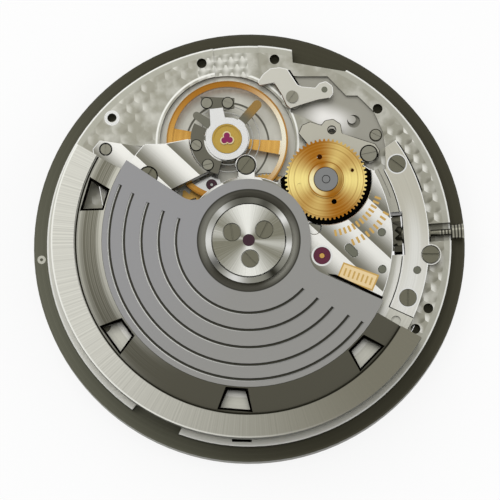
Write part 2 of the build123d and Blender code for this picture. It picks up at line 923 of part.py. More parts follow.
jewel_places = [third_place, escape_place, pallet_place]
with BuildPart() as mainplate:
    with BuildSketch(level(dial_seat)):
        Circle(ring_bore - seat_gap)
    extrude(amount=ring_height - dial_seat)
    with BuildSketch(level(ring_height)):
        Circle(movement_radius)
    extrude(amount=plate_top - ring_height)
    for room in wheel_rooms:
        add(room, mode=Mode.SUBTRACT)
    for room in (winding_bay, sliding_room, stem_room, pilot_room, pin_slot, dial_room, cover_room):
        add(room, mode=Mode.SUBTRACT)
    for room in (corner_pocket, edge_cut, step_pocket, low_edge_cut):
        add(room, mode=Mode.SUBTRACT)
    with BuildSketch(level(corner_pocket_low, hack_place)):
        Circle(hack_boss_radius)
    extrude(amount=hack_low - corner_pocket_low)
    with BuildSketch(level(corner_pocket_low, key_place)):
        with Locations((key_shift, -key_shift)):
            Circle(key_hole_radius)
    extrude(amount=-key_depth, mode=Mode.SUBTRACT)
    with BuildSketch(level(corner_pocket_low - key_depth, key_place)):
        Circle(key_pin_radius)
    extrude(amount=key_depth + pivot_gap)
    for boss_place in (stop_screw_place, stop_pin_place):
        with BuildSketch(level(corner_pocket_low, boss_place)):
            Circle(stop_boss_radius)
        extrude(amount=stop_plate_low - corner_pocket_low)
    with BuildSketch(level(balance_floor, pallet_screw_place)):
        Circle(pallet_post_radius)
    extrude(amount=pallet_bridge_low - balance_floor)
    with BuildSketch(level(plate_top)):
        with Locations(*plate_holes):
            Circle(plate_hole_radius)
    extrude(amount=-plate_hole_depth, mode=Mode.SUBTRACT)
    with BuildSketch(level(plate_top, stop_hole_place)):
        Circle(pin_hole_radius)
    extrude(amount=-deep_hole_depth, mode=Mode.SUBTRACT)
    with BuildSketch(level(balance_floor - pit_disc_depth, balance_place)):
        Circle(pit_disc_radius)
    extrude(amount=pit_disc_depth, mode=Mode.SUBTRACT)
    with BuildSketch(level(dial_seat)):
        with Locations(*foot_places):
            Circle(foot_bore)
    extrude(amount=foot_depth, mode=Mode.SUBTRACT)
    with BuildSketch(level(lower_jewel_low)):
        with Locations(*jewel_places):
            Circle(small_jewel_radius + press_gap)
        Circle(centre_bush_radius + press_gap)
    extrude(amount=overrun, mode=Mode.SUBTRACT)
    with BuildSketch(level(0)):
        with Locations(*jewel_places):
            Circle(small_jewel_radius / 2)
        Circle(cannon_radius + part_gap)
    extrude(amount=floor_height, mode=Mode.SUBTRACT)
    with BuildSketch(level(barrel_bore_low, barrel_place)):
        Circle(barrel_pivot_radius + pivot_gap)
    extrude(amount=overrun * 2, mode=Mode.SUBTRACT)
    with BuildSketch(level(0, balance_place)):
        Circle(shock_radius + press_gap)
    extrude(amount=high, mode=Mode.SUBTRACT)
    add(screw_rooms(bridge_screw_list), mode=Mode.SUBTRACT)
    add(screw_rooms(small_screw_list), mode=Mode.SUBTRACT)
save(mainplate.part, "mainplate")

# Base bridges: the barrel bridge below and to the right, the train bridge on the left
split_line_shares = [
    (-0.9618, -0.2443), (-0.1985, -0.1298), (0.1679, -0.1298), (0.2366, 0.0153), (0.2366, 0.2214),
]
split_line = spots(split_line_shares)
train_outline_shares = [
    (-0.9389, 0.1298), (-0.5496, 0.1985), (-0.3282, 0.2214), (-0.1679, 0.2214), (-0.0382, 0.1908),
    (0.0458, 0.2290), (0.2366, 0.2290),
]
train_outline = spots(train_outline_shares)
barrel_outline_shares = [
    (0.3206, 0.3740), (0.4809, 0.3740), (0.6313, 0.3214), (0.9160, 0.4580), (1.0687, -1.0687),
    (-1.0687, -1.0687), (-1.0687, -0.2443),
]
barrel_outline = spots(barrel_outline_shares)


def moved(points, x_shift, y_shift):
    """An outline moved sideways."""
    return [(x + x_shift, y + y_shift) for x, y in points]


barrel_side = plate_of(moved(split_line, part_gap, -part_gap) + barrel_outline, plate_top, base_bridge_top)
with BuildPart() as base_disc:
    with BuildSketch(level(plate_top)):
        Circle(low_radius)
    extrude(amount=base_bridge_top - plate_top)
strip_outer = winding_inner - strip_gap
strip_line = (high_radius + strip_outer) / 2
right_edges = [
    ring_sector(strip_outer, ring_radius, edge_start, strip_end, 0, cover_bridge_low),
    ring_sector(high_radius, ring_radius, strip_end, edge_end, 0, cover_bridge_low),
    ring_sector(winding_outer, ring_radius, ledge_end, edge_start, 0, cover_bridge_low),
    ring_sector(
        strip_line, strip_line + strip_line_width, strip_line_start, strip_end,
        base_bridge_top - strip_line_depth, cover_bridge_low,
    ),
]
bridge_hole_place = spot((0.6960, -0.4322))
base_rooms = [
    washer(centre, 0, base_bridge_low, fourth_room, 0),
    washer(third_place, 0, base_bridge_low, third_room, 0),
    washer(escape_place, 0, base_bridge_low, escape_room, 0),
    washer(barrel_place, 0, base_bridge_low, barrel_room, 0),
]
pillar_places = spots(cover_screw_shares + [(0.6374, 0.2099)])

with BuildPart() as barrel_bridge:
    add(barrel_side)
    add(base_disc.part, mode=Mode.INTERSECT)
    for edge in right_edges:
        add(edge, mode=Mode.SUBTRACT)
    with BuildSketch(level(base_bridge_top, bridge_hole_place)):
        Circle(plate_hole_radius)
    extrude(amount=-pin_hole_depth, mode=Mode.SUBTRACT)
    for room in base_rooms:
        add(room, mode=Mode.SUBTRACT)
    for room in (winding_bay, sliding_room, pilot_room, stem_room):
        add(room, mode=Mode.SUBTRACT)
    for place in pillar_places:
        with BuildSketch(level(base_bridge_top, place)):
            Circle(pillar_radius)
        extrude(amount=cover_bridge_low - base_bridge_top)
    for place, post_radius, post_top in (
        (crown_place, crown_post_radius, square_top),
        (idler_place, idler_post_radius, square_top),
    ):
        with BuildSketch(level(base_bridge_top, place)):
            Circle(post_radius)
        extrude(amount=post_top - base_bridge_top)
    with BuildSketch(level(0, barrel_place)):
        Circle(barrel_pivot_radius + pivot_gap)
    extrude(amount=cover_bridge_low, mode=Mode.SUBTRACT)
    with BuildSketch(level(base_bridge_top)):
        with Locations(reduction_place, gold_place):
            Circle(small_jewel_radius + press_gap)
    extrude(amount=-jewel_height, mode=Mode.SUBTRACT)
    add(screw_rooms(bridge_screw_list), mode=Mode.SUBTRACT)
    add(screw_rooms(small_screw_list), mode=Mode.SUBTRACT)
save(barrel_bridge.part, "barrel_bridge")

with BuildPart() as train_bridge:
    add(plate_of(split_line + train_outline[::-1], plate_top, base_bridge_top))
    add(base_disc.part, mode=Mode.INTERSECT)
    for room in base_rooms:
        add(room, mode=Mode.SUBTRACT)
    add(washer(balance_place, 0, cover_bridge_low, balance_room_radius, 0), mode=Mode.SUBTRACT)
    with BuildSketch(level(base_bridge_top)):
        with Locations(centre, third_place, escape_place):
            Circle(small_jewel_radius + press_gap)
    extrude(amount=-overrun, mode=Mode.SUBTRACT)
    add(screw_rooms(bridge_screw_list), mode=Mode.SUBTRACT)
save(train_bridge.part, "train_bridge")

# Bridge over the winding stem, low enough for the rotor's rim to pass over it
winding_pin_place = spot((0.8183, -0.1878))
winding_cut_shares = [
    (0.6107, 0.2748), (0.6992, 0.3282), (0.7038, 0.4328), (0.7534, 0.4733), (0.7023, 0.5725), (0.5725, 0.4580),
]
with BuildPart() as winding_bridge:
    add(ring_sector(winding_inner, winding_outer, winding_from, winding_to, plate_top, edge_bridge_top))
    for room in (winding_bay, stem_room):
        add(room, mode=Mode.SUBTRACT)
    add(plate_of(spots(winding_cut_shares), 0, cover_bridge_low), mode=Mode.SUBTRACT)
    with BuildSketch(level(plate_top, edge_screws[1][0])):
        Circle(bridge_head + lobe_rim)
    extrude(amount=edge_bridge_top - plate_top)
    with BuildSketch(level(edge_bridge_top, winding_pin_place)):
        Circle(pin_hole_radius)
    extrude(amount=-pin_hole_depth, mode=Mode.SUBTRACT)
    add(screw_rooms(bridge_screw_list), mode=Mode.SUBTRACT)
save(winding_bridge.part, "winding_bridge")

# Bridge of the self-winding work, with a middle recess for the rotor's gear
hub_room = rotor_module * (rotor_teeth / 2 + addendum_share) + part_gap
gold_room = rotor_module * (gold_teeth / 2 + addendum_share) + gold_gap
cover_outline_shares = [
    (0.6389, 0.3061), (0.5267, 0.3855), (0.3969, 0.4046), (0.2748, 0.3817), (0.1679, 0.2977),
    (0.0000, 0.0000),
]
cover_outline = spots(cover_outline_shares)
cover_pin_places = spots([(0.6550, 0.0000), (0.6443, -0.1832)])
cover_slot_place = spot((0.5000, -0.0802))
oil_hole_place = spot((0.3260, 0.0470))
tail_place = spot((-0.4580, -0.0763))
tail_root_place = polar(high_radius * 0.43, 170)
with BuildPart() as automatic_bridge:
    with BuildSketch(level(cover_bridge_low)):
        Circle(hub_room + hub_rim)
        with Locations(tongue_place):
            Circle(tongue_radius)
        with Locations(Location((0, 0, 0), (0, 0, heading(centre, tongue_place)))):
            Rectangle(between(centre, tongue_place), tongue_neck, align=(Align.MIN, Align.CENTER))
        with BuildLine():
            Polyline(*cover_outline, close=True)
        make_face()
        with BuildLine():
            ThreePointArc(
                polar(high_radius, cover_start),
                polar(high_radius, (cover_start + cover_end) / 2),
                polar(high_radius, cover_end),
            )
            Line(polar(high_radius, cover_end), centre)
            Line(centre, tail_root_place)
            Line(tail_root_place, tail_place)
            Line(tail_place, polar(high_radius, cover_start))
        make_face()
    extrude(amount=cover_bridge_top - cover_bridge_low)
    with BuildSketch(level(recess_floor)):
        Circle(hub_room)
        with Locations(gold_place):
            Circle(gold_room)
    extrude(amount=overrun, mode=Mode.SUBTRACT)
    with BuildSketch(level(0)):
        with Locations(gold_place):
            Circle(clutch_arbor_radius + arbor_room)
        with Locations(reduction_place):
            Circle(cover_jewel_radius + press_gap)
    extrude(amount=cover_bridge_top, mode=Mode.SUBTRACT)
    with BuildSketch(level(cover_bridge_top)):
        with Locations(*cover_pin_places):
            Circle(pin_hole_radius)
        with Locations(cover_slot_place):
            SlotOverall(4 * pin_hole_radius, 2 * pin_hole_radius, rotation=-50)
        with Locations(oil_hole_place):
            Circle(oil_hole_radius)
    extrude(amount=-pin_hole_depth, mode=Mode.SUBTRACT)
    add(winding_bay, mode=Mode.SUBTRACT)
    add(screw_rooms(bridge_screw_list), mode=Mode.SUBTRACT)
    add(screw_rooms(core_screw_list), mode=Mode.SUBTRACT)
save(automatic_bridge.part, "automatic_bridge")

# Balance cock: a high arm over the balance, a low foot clear of the rotor's rim
cock_foot_shares = [
    (-0.7405, 0.5229), (-0.7023, 0.5649), (-0.4809, 0.5153), (-0.4275, 0.3969), (-0.4389, 0.2519),
    (-0.5649, 0.2099), (-0.7099, 0.2366),
]
cock_foot = spots(cock_foot_shares)
cock_arm_shares = [
    (-0.6183, 0.3511), (-0.6183, 0.4504), (-0.5725, 0.5229), (-0.3817, 0.5153), (-0.2595, 0.5305),
    (-0.1679, 0.5496), (-0.0733, 0.5191), (-0.0916, 0.4275), (-0.1756, 0.3603), (-0.3511, 0.2878),
    (-0.5038, 0.2252), (-0.6183, 0.2443),
]
cock_arm = spots(cock_arm_shares)
end_arm_shares = [
    (-0.1450, 0.5878), (-0.1500, 0.6832), (-0.1908, 0.7443), (-0.0267, 0.7252), (-0.0267, 0.6750),
    (-0.0850, 0.6650), (-0.0840, 0.6031),
]
end_plate_shares = [(-0.1908, 0.7443), (-0.1756, 0.6832), (-0.0267, 0.6733), (-0.0229, 0.7252)]
with BuildPart() as balance_cock:
    add(plate_of(cock_foot, plate_top, cock_foot_top))
    with BuildSketch(level(cock_foot_top)):
        with BuildLine():
            Polyline(*cock_foot, close=True)
        make_face()
        Circle(high_radius, mode=Mode.INTERSECT)
    extrude(amount=cock_low - cock_foot_top)
    with BuildSketch(level(cock_low)):
        with BuildLine():
            Polyline(*cock_arm, close=True)
        make_face()
        Circle(high_radius, mode=Mode.INTERSECT)
    extrude(amount=cock_top - cock_low)
    with BuildSketch(level(cock_low, balance_place)):
        Circle(cock_disc_radius)
    extrude(amount=cock_disc_top - cock_low)
    with BuildSketch(level(cock_disc_top, balance_place)):
        Circle(cock_step_radius)
    extrude(amount=cock_top - cock_disc_top + overrun, mode=Mode.SUBTRACT)
    add(plate_of(spots(end_arm_shares), end_stop_low, end_plate_low))
    with BuildSketch(level(0, balance_place)):
        Circle(shock_radius + press_gap)
    extrude(amount=cover_bridge_top, mode=Mode.SUBTRACT)
    add(screw_rooms(bridge_screw_list), mode=Mode.SUBTRACT)
    add(screw_rooms(cock_screw_list), mode=Mode.SUBTRACT)
    add(screw_room(foot_pin_place, foot_pin_seat, small_head, small_shank, screw_bite), mode=Mode.SUBTRACT)
save(balance_cock.part, "balance_cock")

with BuildPart() as cock_plates:
    add(plate_of(spots(end_plate_shares), end_plate_low, end_plate_top))
    add(ring_sector(clamp_inner, clamp_outer, clamp_start, clamp_end, clamp_low, clamp_top, balance_place))
    add(screw_rooms(cock_screw_list), mode=Mode.SUBTRACT)
save(cock_plates.part, "cock_plates")

def link(a, b, a_radius, b_radius, low, high):
    """A flat arm between two round ends."""
    turn = heading(a, b)
    with BuildPart() as arm:
        with BuildSketch(level(low)):
            with Locations(a):
                Circle(a_radius)
            with Locations(b):
                Circle(b_radius)
            with BuildLine():
                Polyline(
                    polar(a_radius, turn + 90, a),
                    polar(b_radius, turn + 90, b),
                    polar(b_radius, turn - 90, b),
                    polar(a_radius, turn - 90, a),
                    close=True,
                )
            make_face()
        extrude(amount=high - low)
    return arm.part


with BuildPart() as pallet_bridge:
    add(link(
        pallet_place, pallet_screw_place, pallet_boss, pallet_post_radius,
        pallet_bridge_low, pallet_bridge_top,
    ))
    with BuildSketch(level(0, pallet_place)):
        Circle(small_jewel_radius + press_gap)
    extrude(amount=cover_bridge_low, mode=Mode.SUBTRACT)
    add(screw_rooms(small_screw_list), mode=Mode.SUBTRACT)
save(pallet_bridge.part, "pallet_bridge")

# Plate of the stop work, beside the gold wheel
stop_outline_shares = [
    (0.2794, 0.5313), (0.3015, 0.5725), (0.3427, 0.5870), (0.3962, 0.5664), (0.4160, 0.5878),
    (0.4573, 0.5924), (0.4924, 0.5649), (0.4977, 0.5168), (0.5802, 0.4847), (0.6565, 0.4542),
    (0.6763, 0.4198), (0.6641, 0.3779), (0.6031, 0.3603), (0.5115, 0.3908), (0.3664, 0.3908),
    (0.3244, 0.4695),
]
stop_outline = spots(stop_outline_shares)
with BuildPart() as stop_plate:
    add(plate_of(stop_outline, stop_plate_low, stop_plate_top))
    with BuildSketch(level(stop_plate_low, stop_hole_place)):
        Circle(pin_hole_radius)
    extrude(amount=overrun, mode=Mode.SUBTRACT)
    add(screw_rooms(small_screw_list), mode=Mode.SUBTRACT)
save(stop_plate.part, "stop_plate")

# Stop lever: its finger reaches for the balance rim when the stem is pulled
hack_outline_shares = [
    (0.1244, 0.8412), (0.1634, 0.8687), (0.2099, 0.8718), (0.2473, 0.8603), (0.2542, 0.8473),
    (0.2931, 0.7779), (0.3130, 0.7672), (0.3794, 0.7565), (0.4008, 0.7786), (0.4351, 0.7863),
    (0.4656, 0.7595), (0.4672, 0.7214), (0.4466, 0.6985), (0.3901, 0.6939), (0.3244, 0.6786),
    (0.2481, 0.6588), (0.2298, 0.6802), (0.2092, 0.7359), (0.1779, 0.7931), (0.1031, 0.7847),
    (0.0954, 0.8015),
]
hack_outline = spots(hack_outline_shares)
with BuildPart() as hack_lever:
    add(plate_of(hack_outline, hack_low, hack_top))
    add(screw_rooms(small_screw_list), mode=Mode.SUBTRACT)
save(hack_lever.part, "hack_lever")

# Cover of the setting work on the dial side
with BuildPart() as cover_plate:
    add(dial_recess(cover_rim - cover_gap, dial_seat, dial_seat + cover_thickness))
    add(winding_bay, mode=Mode.SUBTRACT)
    with BuildSketch(level(0)):
        Circle(hour_radius + hand_room)
    extrude(amount=plate_top, mode=Mode.SUBTRACT)
    with BuildSketch(level(0)):
        Circle(ring_bore - seat_gap)
    extrude(amount=plate_top, mode=Mode.INTERSECT)
save(cover_plate.part, "cover_plate")

with BuildPart() as screws:
    add(screw_group(bridge_screw_list))
save(screws.part, "bridge_screws")
with BuildPart() as little_screws:
    add(screw_group(small_screw_list))
    add(screw_group(cock_screw_list))
save(little_screws.part, "small_screws")

# Barrel, with its mainspring, arbor and lid
barrel_outer = between(barrel_place, centre) - centre_module * (centre_teeth / 2 + addendum_share) - part_gap
barrel_inner = barrel_outer - barrel_wall
barrel_start = heading(barrel_place, centre) - 180 / barrel_teeth
lid_top = barrel_lid_low + barrel_lid
with BuildPart() as barrel_drum:
    add(toothed_disc(
        barrel_place, barrel_low, barrel_tooth_height,
        barrel_teeth, barrel_module, barrel_start,
    ))
    with BuildSketch(level(barrel_low, barrel_place)):
        Circle(barrel_outer)
    extrude(amount=lid_top - barrel_low)
    with BuildSketch(level(barrel_low + barrel_floor, barrel_place)):
        Circle(barrel_inner)
    extrude(amount=overrun * 3, mode=Mode.SUBTRACT)
    with BuildSketch(level(0, barrel_place)):
        Circle(barrel_pivot_radius + pivot_gap)
    extrude(amount=high, mode=Mode.SUBTRACT)
save(barrel_drum.part, "barrel_drum")

with BuildPart() as barrel_cover:
    add(washer(
        barrel_place, barrel_lid_low, lid_top, barrel_inner - press_gap,
        barrel_pivot_radius + pivot_gap,
    ))
save(barrel_cover.part, "barrel_cover")

arbor_core_low = barrel_low + barrel_floor + pivot_gap
with BuildPart() as barrel_arbor:
    add(
        turned(
            barrel_place,
            [
                (barrel_pivot_radius, barrel_bore_low + pivot_gap, base_bridge_top),
                (barrel_arbor_radius, arbor_core_low, barrel_lid_low - pivot_gap),
            ],
        )
    )
    with BuildSketch(level(base_bridge_top, barrel_place)):
        Rectangle(barrel_square, barrel_square)
    extrude(amount=square_top - base_bridge_top)
save(barrel_arbor.part, "barrel_arbor")


def spiral_strip(place, low, height, inner, pitch, half_turns, thickness, start):
    """A spiral strip of half circles, each half circle wider than the last by half a pitch."""
    ahead = polar(pitch / 4, start)
    shifts = (-1, 1)
    sides = ([], [])
    with BuildPart() as strip:
        with BuildSketch(level(low, place)):
            with BuildLine():
                for n in range(half_turns):
                    middle = (shifts[n % 2] * ahead[0], shifts[n % 2] * ahead[1])
                    for side, edge in zip((-1, 1), sides):
                        radius = inner + n * pitch / 2 + side * thickness / 2
                        first = start + 180 * n
                        ends = [polar(radius, first + turn, middle) for turn in (0, 90, 180)]
                        ThreePointArc(*ends)
                        edge.append(ends[0])
                        edge.append(ends[2])
                Line(sides[0][0], sides[1][0])
                Line(sides[0][-1], sides[1][-1])
            make_face()
        extrude(amount=height)
    return strip.part


# The mainspring lies wound in the drum, its ends near the arbor and the wall
spring_slack = spring_room + mainspring_thickness
mainspring_pitch = (barrel_inner - barrel_arbor_radius - 2 * spring_slack) / (mainspring_turns + 0.5)
spring_inner = barrel_arbor_radius + spring_slack + mainspring_pitch / 4
spring_low = arbor_core_low + spring_room
with BuildPart() as mainspring:
    add(
        spiral_strip(
            barrel_place, spring_low, barrel_lid_low - spring_room - spring_low, spring_inner,
            mainspring_pitch, 2 * mainspring_turns, mainspring_thickness, heading(barrel_place, centre),
        )
    )
save(mainspring.part, "mainspring")

# Ratchet wheel, crown wheel and the idler between them
ratchet_start = heading(barrel_place, reduction_place)
with BuildPart() as ratchet_wheel:
    add(toothed_disc(
        barrel_place, ratchet_low, ratchet_thickness,
        ratchet_teeth, winding_module, ratchet_start,
    ))
    with BuildSketch(level(ratchet_low, barrel_place)):
        Rectangle(barrel_square + square_gap, barrel_square + square_gap)
    extrude(amount=overrun, mode=Mode.SUBTRACT)
save(ratchet_wheel.part, "ratchet_wheel")

ratchet_screw_top = reduction_low - stem_running_gap
with BuildPart() as ratchet_screw:
    with BuildSketch(level(square_top, barrel_place)):
        Circle(ratchet_screw_radius)
    extrude(amount=ratchet_screw_top - square_top)
    with BuildSketch(level(ratchet_screw_top, barrel_place)):
        Rectangle(3 * ratchet_screw_radius, slot_width_share * ratchet_screw_radius, rotation=30)
    extrude(amount=-(ratchet_screw_top - square_top) / 2, mode=Mode.SUBTRACT)
save(ratchet_screw.part, "ratchet_screw")

crown_start = heading(crown_place, idler_place)
with BuildPart() as crown_wheel:
    add(toothed_disc(
        crown_place, ratchet_low, ratchet_thickness, crown_teeth, winding_module, crown_start,
        bore=crown_post_radius + pivot_gap,
    ))
save(crown_wheel.part, "crown_wheel")

idler_start = heading(idler_place, crown_place) - 180 / idler_teeth
with BuildPart() as idler_wheel:
    add(toothed_disc(
        idler_place, ratchet_low, ratchet_thickness, idler_teeth, winding_module, idler_start,
        bore=idler_post_radius + pivot_gap,
    ))
save(idler_wheel.part, "idler_wheel")

with BuildPart() as wheel_keepers:
    for place, keeper_radius in ((crown_place, crown_keeper_radius), (idler_place, idler_keeper_radius)):
        with BuildSketch(level(square_top + keeper_gap, place)):
            Circle(keeper_radius)
        extrude(amount=keeper_thickness)
save(wheel_keepers.part, "wheel_keepers")

# Reduction wheel, which winds the ratchet wheel from the reversing clutch
with BuildPart() as reduction_wheel:
    add(spoked_wheel(
        reduction_place, reduction_low, reduction_thickness, reduction_teeth, auto_module,
        heading(reduction_place, gold_place), reduction_hub, wheel_spokes, reduction_spoke,
    ))
    add(toothed_disc(
        reduction_place, ratchet_low - pivot_gap, reduction_low - ratchet_low + pivot_gap, reduction_leaves,
        winding_module,
        heading(reduction_place, barrel_place) - 180 / reduction_leaves,
    ))
    add(turned(reduction_place, [(train_arbor_radius, base_bridge_top - jewel_height, cover_bridge_top - stem_running_gap)]))
save(reduction_wheel.part, "reduction_wheel")

# Gold wheel turned by the rotor, and the clutch arbor under it
gold_top = gold_low + gold_thickness
gold_start = heading(gold_place, centre) - 180 / gold_teeth
with BuildPart() as reverser_wheel:
    add(toothed_disc(gold_place, gold_low, gold_thickness, gold_teeth, rotor_module, gold_start, flat=True))
    with BuildSketch(level(gold_top, gold_place)):
        Circle(gold_boss_radius)
    extrude(amount=gold_boss_height)
    with BuildSketch(level(0, gold_place)):
        Circle(clutch_hub_radius + pivot_gap)
    extrude(amount=high * 2, mode=Mode.SUBTRACT)
    with BuildSketch(level(gold_low, gold_place)):
        with Locations(polar(through_hole_circle, 102), polar(through_hole_circle, 286)):
            Circle(through_hole_radius)
    extrude(amount=gold_thickness, mode=Mode.SUBTRACT)
    with BuildSketch(level(gold_top, gold_place)):
        with Locations(polar(blind_hole_circle, 16), polar(blind_hole_circle, 189)):
            Circle(blind_hole_radius)
    extrude(amount=-gold_thickness / 3, mode=Mode.SUBTRACT)
save(reverser_wheel.part, "reverser_wheel")

cap_low = gold_top + gold_boss_height - cap_sink
with BuildPart() as reverser_clutch:
    add(toothed_disc(
        gold_place, reduction_low - pivot_gap, reduction_thickness + 4 * pivot_gap, clutch_teeth, auto_module,
        heading(gold_place, reduction_place) - 180 / clutch_teeth,
    ))
    add(turned(
        gold_place,
        [
            (clutch_arbor_radius, base_bridge_top + pivot_gap, gold_low),
            (clutch_hub_radius, recess_floor + stem_running_gap, cap_low + cap_height),
            (train_pivot_radius * 2, base_bridge_top - jewel_height, cap_low + cap_height + pivot_tip_height),
        ],
    ))
save(reverser_clutch.part, "reverser_clutch")

# Rotor bearing: a fixed core, balls, and the race that carries the rotor
core_flange_top = recess_floor + core_flange_height
core_cap_low = core_top - core_cap_height
ball_height = (core_flange_top + core_cap_low) / 2
with BuildPart() as bearing_core:
    add(turned(centre, [
        (core_radius, recess_floor, core_flange_top),
        (core_neck_radius, core_flange_top, core_cap_low),
        (core_radius, core_cap_low, core_top),
    ]))
    with BuildSketch(level(core_top)):
        Circle(core_jewel_radius + press_gap)
    extrude(amount=-core_screw_sink, mode=Mode.SUBTRACT)
    add(screw_rooms(core_screw_list), mode=Mode.SUBTRACT)
save(bearing_core.part, "bearing_core")

with BuildPart() as bearing_screws:
    add(screw_group(core_screw_list))
save(bearing_screws.part, "bearing_screws")

with BuildPart() as bearing_balls:
    with Locations(Vector(0, 0, ball_height)):
        with PolarLocations(ball_circle, ball_count):
            Sphere(ball_radius)
save(bearing_balls.part, "bearing_balls")

with BuildPart() as bearing_race:
    add(washer(centre, race_low, race_top - race_lip_height, race_radius, race_bore))
    add(washer(centre, race_top - race_lip_height, race_top, race_radius, race_lip_bore))
save(bearing_race.part, "bearing_race")

with BuildPart() as rotor_gear:
    add(toothed_disc(
        centre, rotor_gear_low, rotor_gear_thickness, rotor_teeth, rotor_module, heading(centre, gold_place),
        bore=race_radius + press_gap,
    ))
save(rotor_gear.part, "rotor_gear")

# Rotor plate: a sector with a round hub, and grooves that run round the hub
web_top = web_low + web_thickness
groove_middle_turn = (web_start + web_end) / 2 + groove_shift
with BuildPart() as rotor_plate:
    with BuildSketch(level(web_low)) as web_sketch:
        Circle(web_hub_radius)
        with BuildLine():
            ThreePointArc(
                polar(web_radius, web_start),
                polar(web_radius, (web_start + web_end) / 2),
                polar(web_radius, web_end),
            )
            Line(polar(web_radius, web_end), centre)
            Line(centre, polar(web_radius, web_start))
        make_face()
        corners = [v for v in web_sketch.vertices() if abs(hypot(v.X, v.Y) - web_hub_radius) < press_gap]
        fillet(corners, web_fillet)
        Circle(race_radius + press_gap, mode=Mode.SUBTRACT)
    extrude(amount=web_thickness)
    with BuildSketch(Plane.XZ):
        with BuildLine():
            Polyline(
                (race_radius, web_top - web_thickness / 2),
                (collar_radius, web_top + overrun / 10),
                (race_radius, web_top + overrun / 10),
                close=True,
            )
        make_face()
    revolve(axis=Axis.Z, mode=Mode.SUBTRACT)
    for groove_share in groove_shares:
        groove_radius_now = web_radius * groove_share
        spread = groove_spread - groove_taper * (web_radius - groove_radius_now) / web_radius
        add(
            ring_sector(
                groove_radius_now - groove_width_rotor / 2, groove_radius_now + groove_width_rotor / 2,
                groove_middle_turn - spread / 2, groove_middle_turn + spread / 2,
                web_top - groove_depth, web_top + overrun,
            ),
            mode=Mode.SUBTRACT,
        )
save(rotor_plate.part, "rotor_plate")

# Heavy rim of the rotor: a sloping band with windows, and a raised outer band
with BuildPart() as rotor_weight:
    with BuildSketch(Plane.XZ.rotated((0, 0, weight_start))):
        with BuildLine():
            Polyline(
                (weight_inner, rotor_low),
                (weight_inner, web_low),
                (weight_ledge, web_low),
                (weight_ledge, weight_inner_top),
                (weight_step, weight_step_top),
                (weight_step, weight_step_top - weight_groove_depth),
                (weight_groove, weight_step_top - weight_groove_depth),
                (weight_groove, weight_rim_top),
                (weight_outer, weight_rim_top),
                (weight_outer, rotor_low),
                close=True,
            )
        make_face()
    revolve(axis=Axis.Z, revolution_arc=weight_end - weight_start)
    for window_angle in window_angles:
        turn = radians(window_angle)
        half_inner = window_inner_width / 2
        half_outer = window_outer_width / 2
        corners = [
            (window_inner, -half_inner), (window_outer, -half_outer),
            (window_outer, half_outer), (window_inner, half_inner),
        ]
        add(
            plate_of(
                [(x * cos(turn) - y * sin(turn), x * sin(turn) + y * cos(turn)) for x, y in corners],
                rotor_low - overrun, weight_rim_top + overrun,
            ),
            mode=Mode.SUBTRACT,
        )
save(rotor_weight.part, "rotor_weight")

# Going train
centre_leaf_start = heading(centre, barrel_place)
with BuildPart() as centre_wheel:
    add(spoked_wheel(
        centre, centre_wheel_low, train_thickness, centre_teeth, centre_module,
        heading(centre, third_place), centre_hub, wheel_spokes, train_spoke,
    ))
    add(toothed_disc(
        centre, centre_leaf_low, centre_wheel_low - centre_leaf_low, centre_leaves, barrel_module, centre_leaf_start
    ))
    add(turned(centre, [(centre_arbor_radius, cannon_pipe_end + centre_arbor_set, centre_wheel_low)]))
    with BuildSketch(level(0)):
        Circle(centre_bore)
    extrude(amount=high, mode=Mode.SUBTRACT)
save(centre_wheel.part, "centre_wheel")

with BuildPart() as third_wheel:
    add(spoked_wheel(
        third_place, third_wheel_low, train_thickness, third_teeth, third_module,
        heading(third_place, centre), train_hub, wheel_spokes, train_spoke,
    ))
    add(toothed_disc(
        third_place, third_leaf_low, third_wheel_low - third_leaf_low, third_leaves, centre_module,
        heading(third_place, centre) - 180 / third_leaves,
    ))
    add(turned(third_place, [(train_pivot_radius, lower_pivot_low, base_bridge_top - pivot_tip_height)]))
save(third_wheel.part, "third_wheel")

with BuildPart() as fourth_wheel:
    add(spoked_wheel(
        centre, fourth_wheel_low, train_thickness, fourth_teeth, fourth_module,
        heading(centre, escape_place), train_hub, wheel_spokes, train_spoke,
    ))
    add(toothed_disc(
        centre, fourth_leaf_low, fourth_wheel_low - fourth_leaf_low, fourth_leaves, third_module,
        heading(centre, third_place) - 180 / fourth_leaves,
    ))
    add(turned(centre, [(seconds_radius, seconds_end, base_bridge_top - pivot_tip_height)]))
save(fourth_wheel.part, "fourth_wheel")

# Escape wheel with leaning teeth
escape_foot_radius = escape_tip * escape_foot_share
escape_rim_radius = escape_tip * escape_rim_share
with BuildPart() as escape_wheel:
    with BuildSketch(level(escape_wheel_low, escape_place)):
        with BuildLine():
            step = 360 / escape_teeth
            outline = []
            for n in range(escape_teeth):
                outline.append(polar(escape_foot_radius, n * step))
                outline.append(polar(escape_tip, (n + tooth_lean_share) * step))
                outline.append(polar(escape_tip, (n + tooth_back_share) * step))
            Polyline(*outline, close=True)
        make_face()
        Circle(escape_rim_radius, mode=Mode.SUBTRACT)
        with PolarLocations(0, escape_spokes):
            Rectangle(escape_foot_radius, escape_spoke, align=(Align.MIN, Align.CENTER))
        Circle(escape_hub)
    extrude(amount=escape_thickness)
    add(toothed_disc(
        escape_place, escape_leaf_low, escape_leaf_height, escape_leaves, fourth_module,
        heading(escape_place, centre) - 180 / escape_leaves,
    ))
    add(turned(escape_place, [(train_pivot_radius, lower_pivot_low, base_bridge_top - pivot_tip_height)]))
save(escape_wheel.part, "escape_wheel")

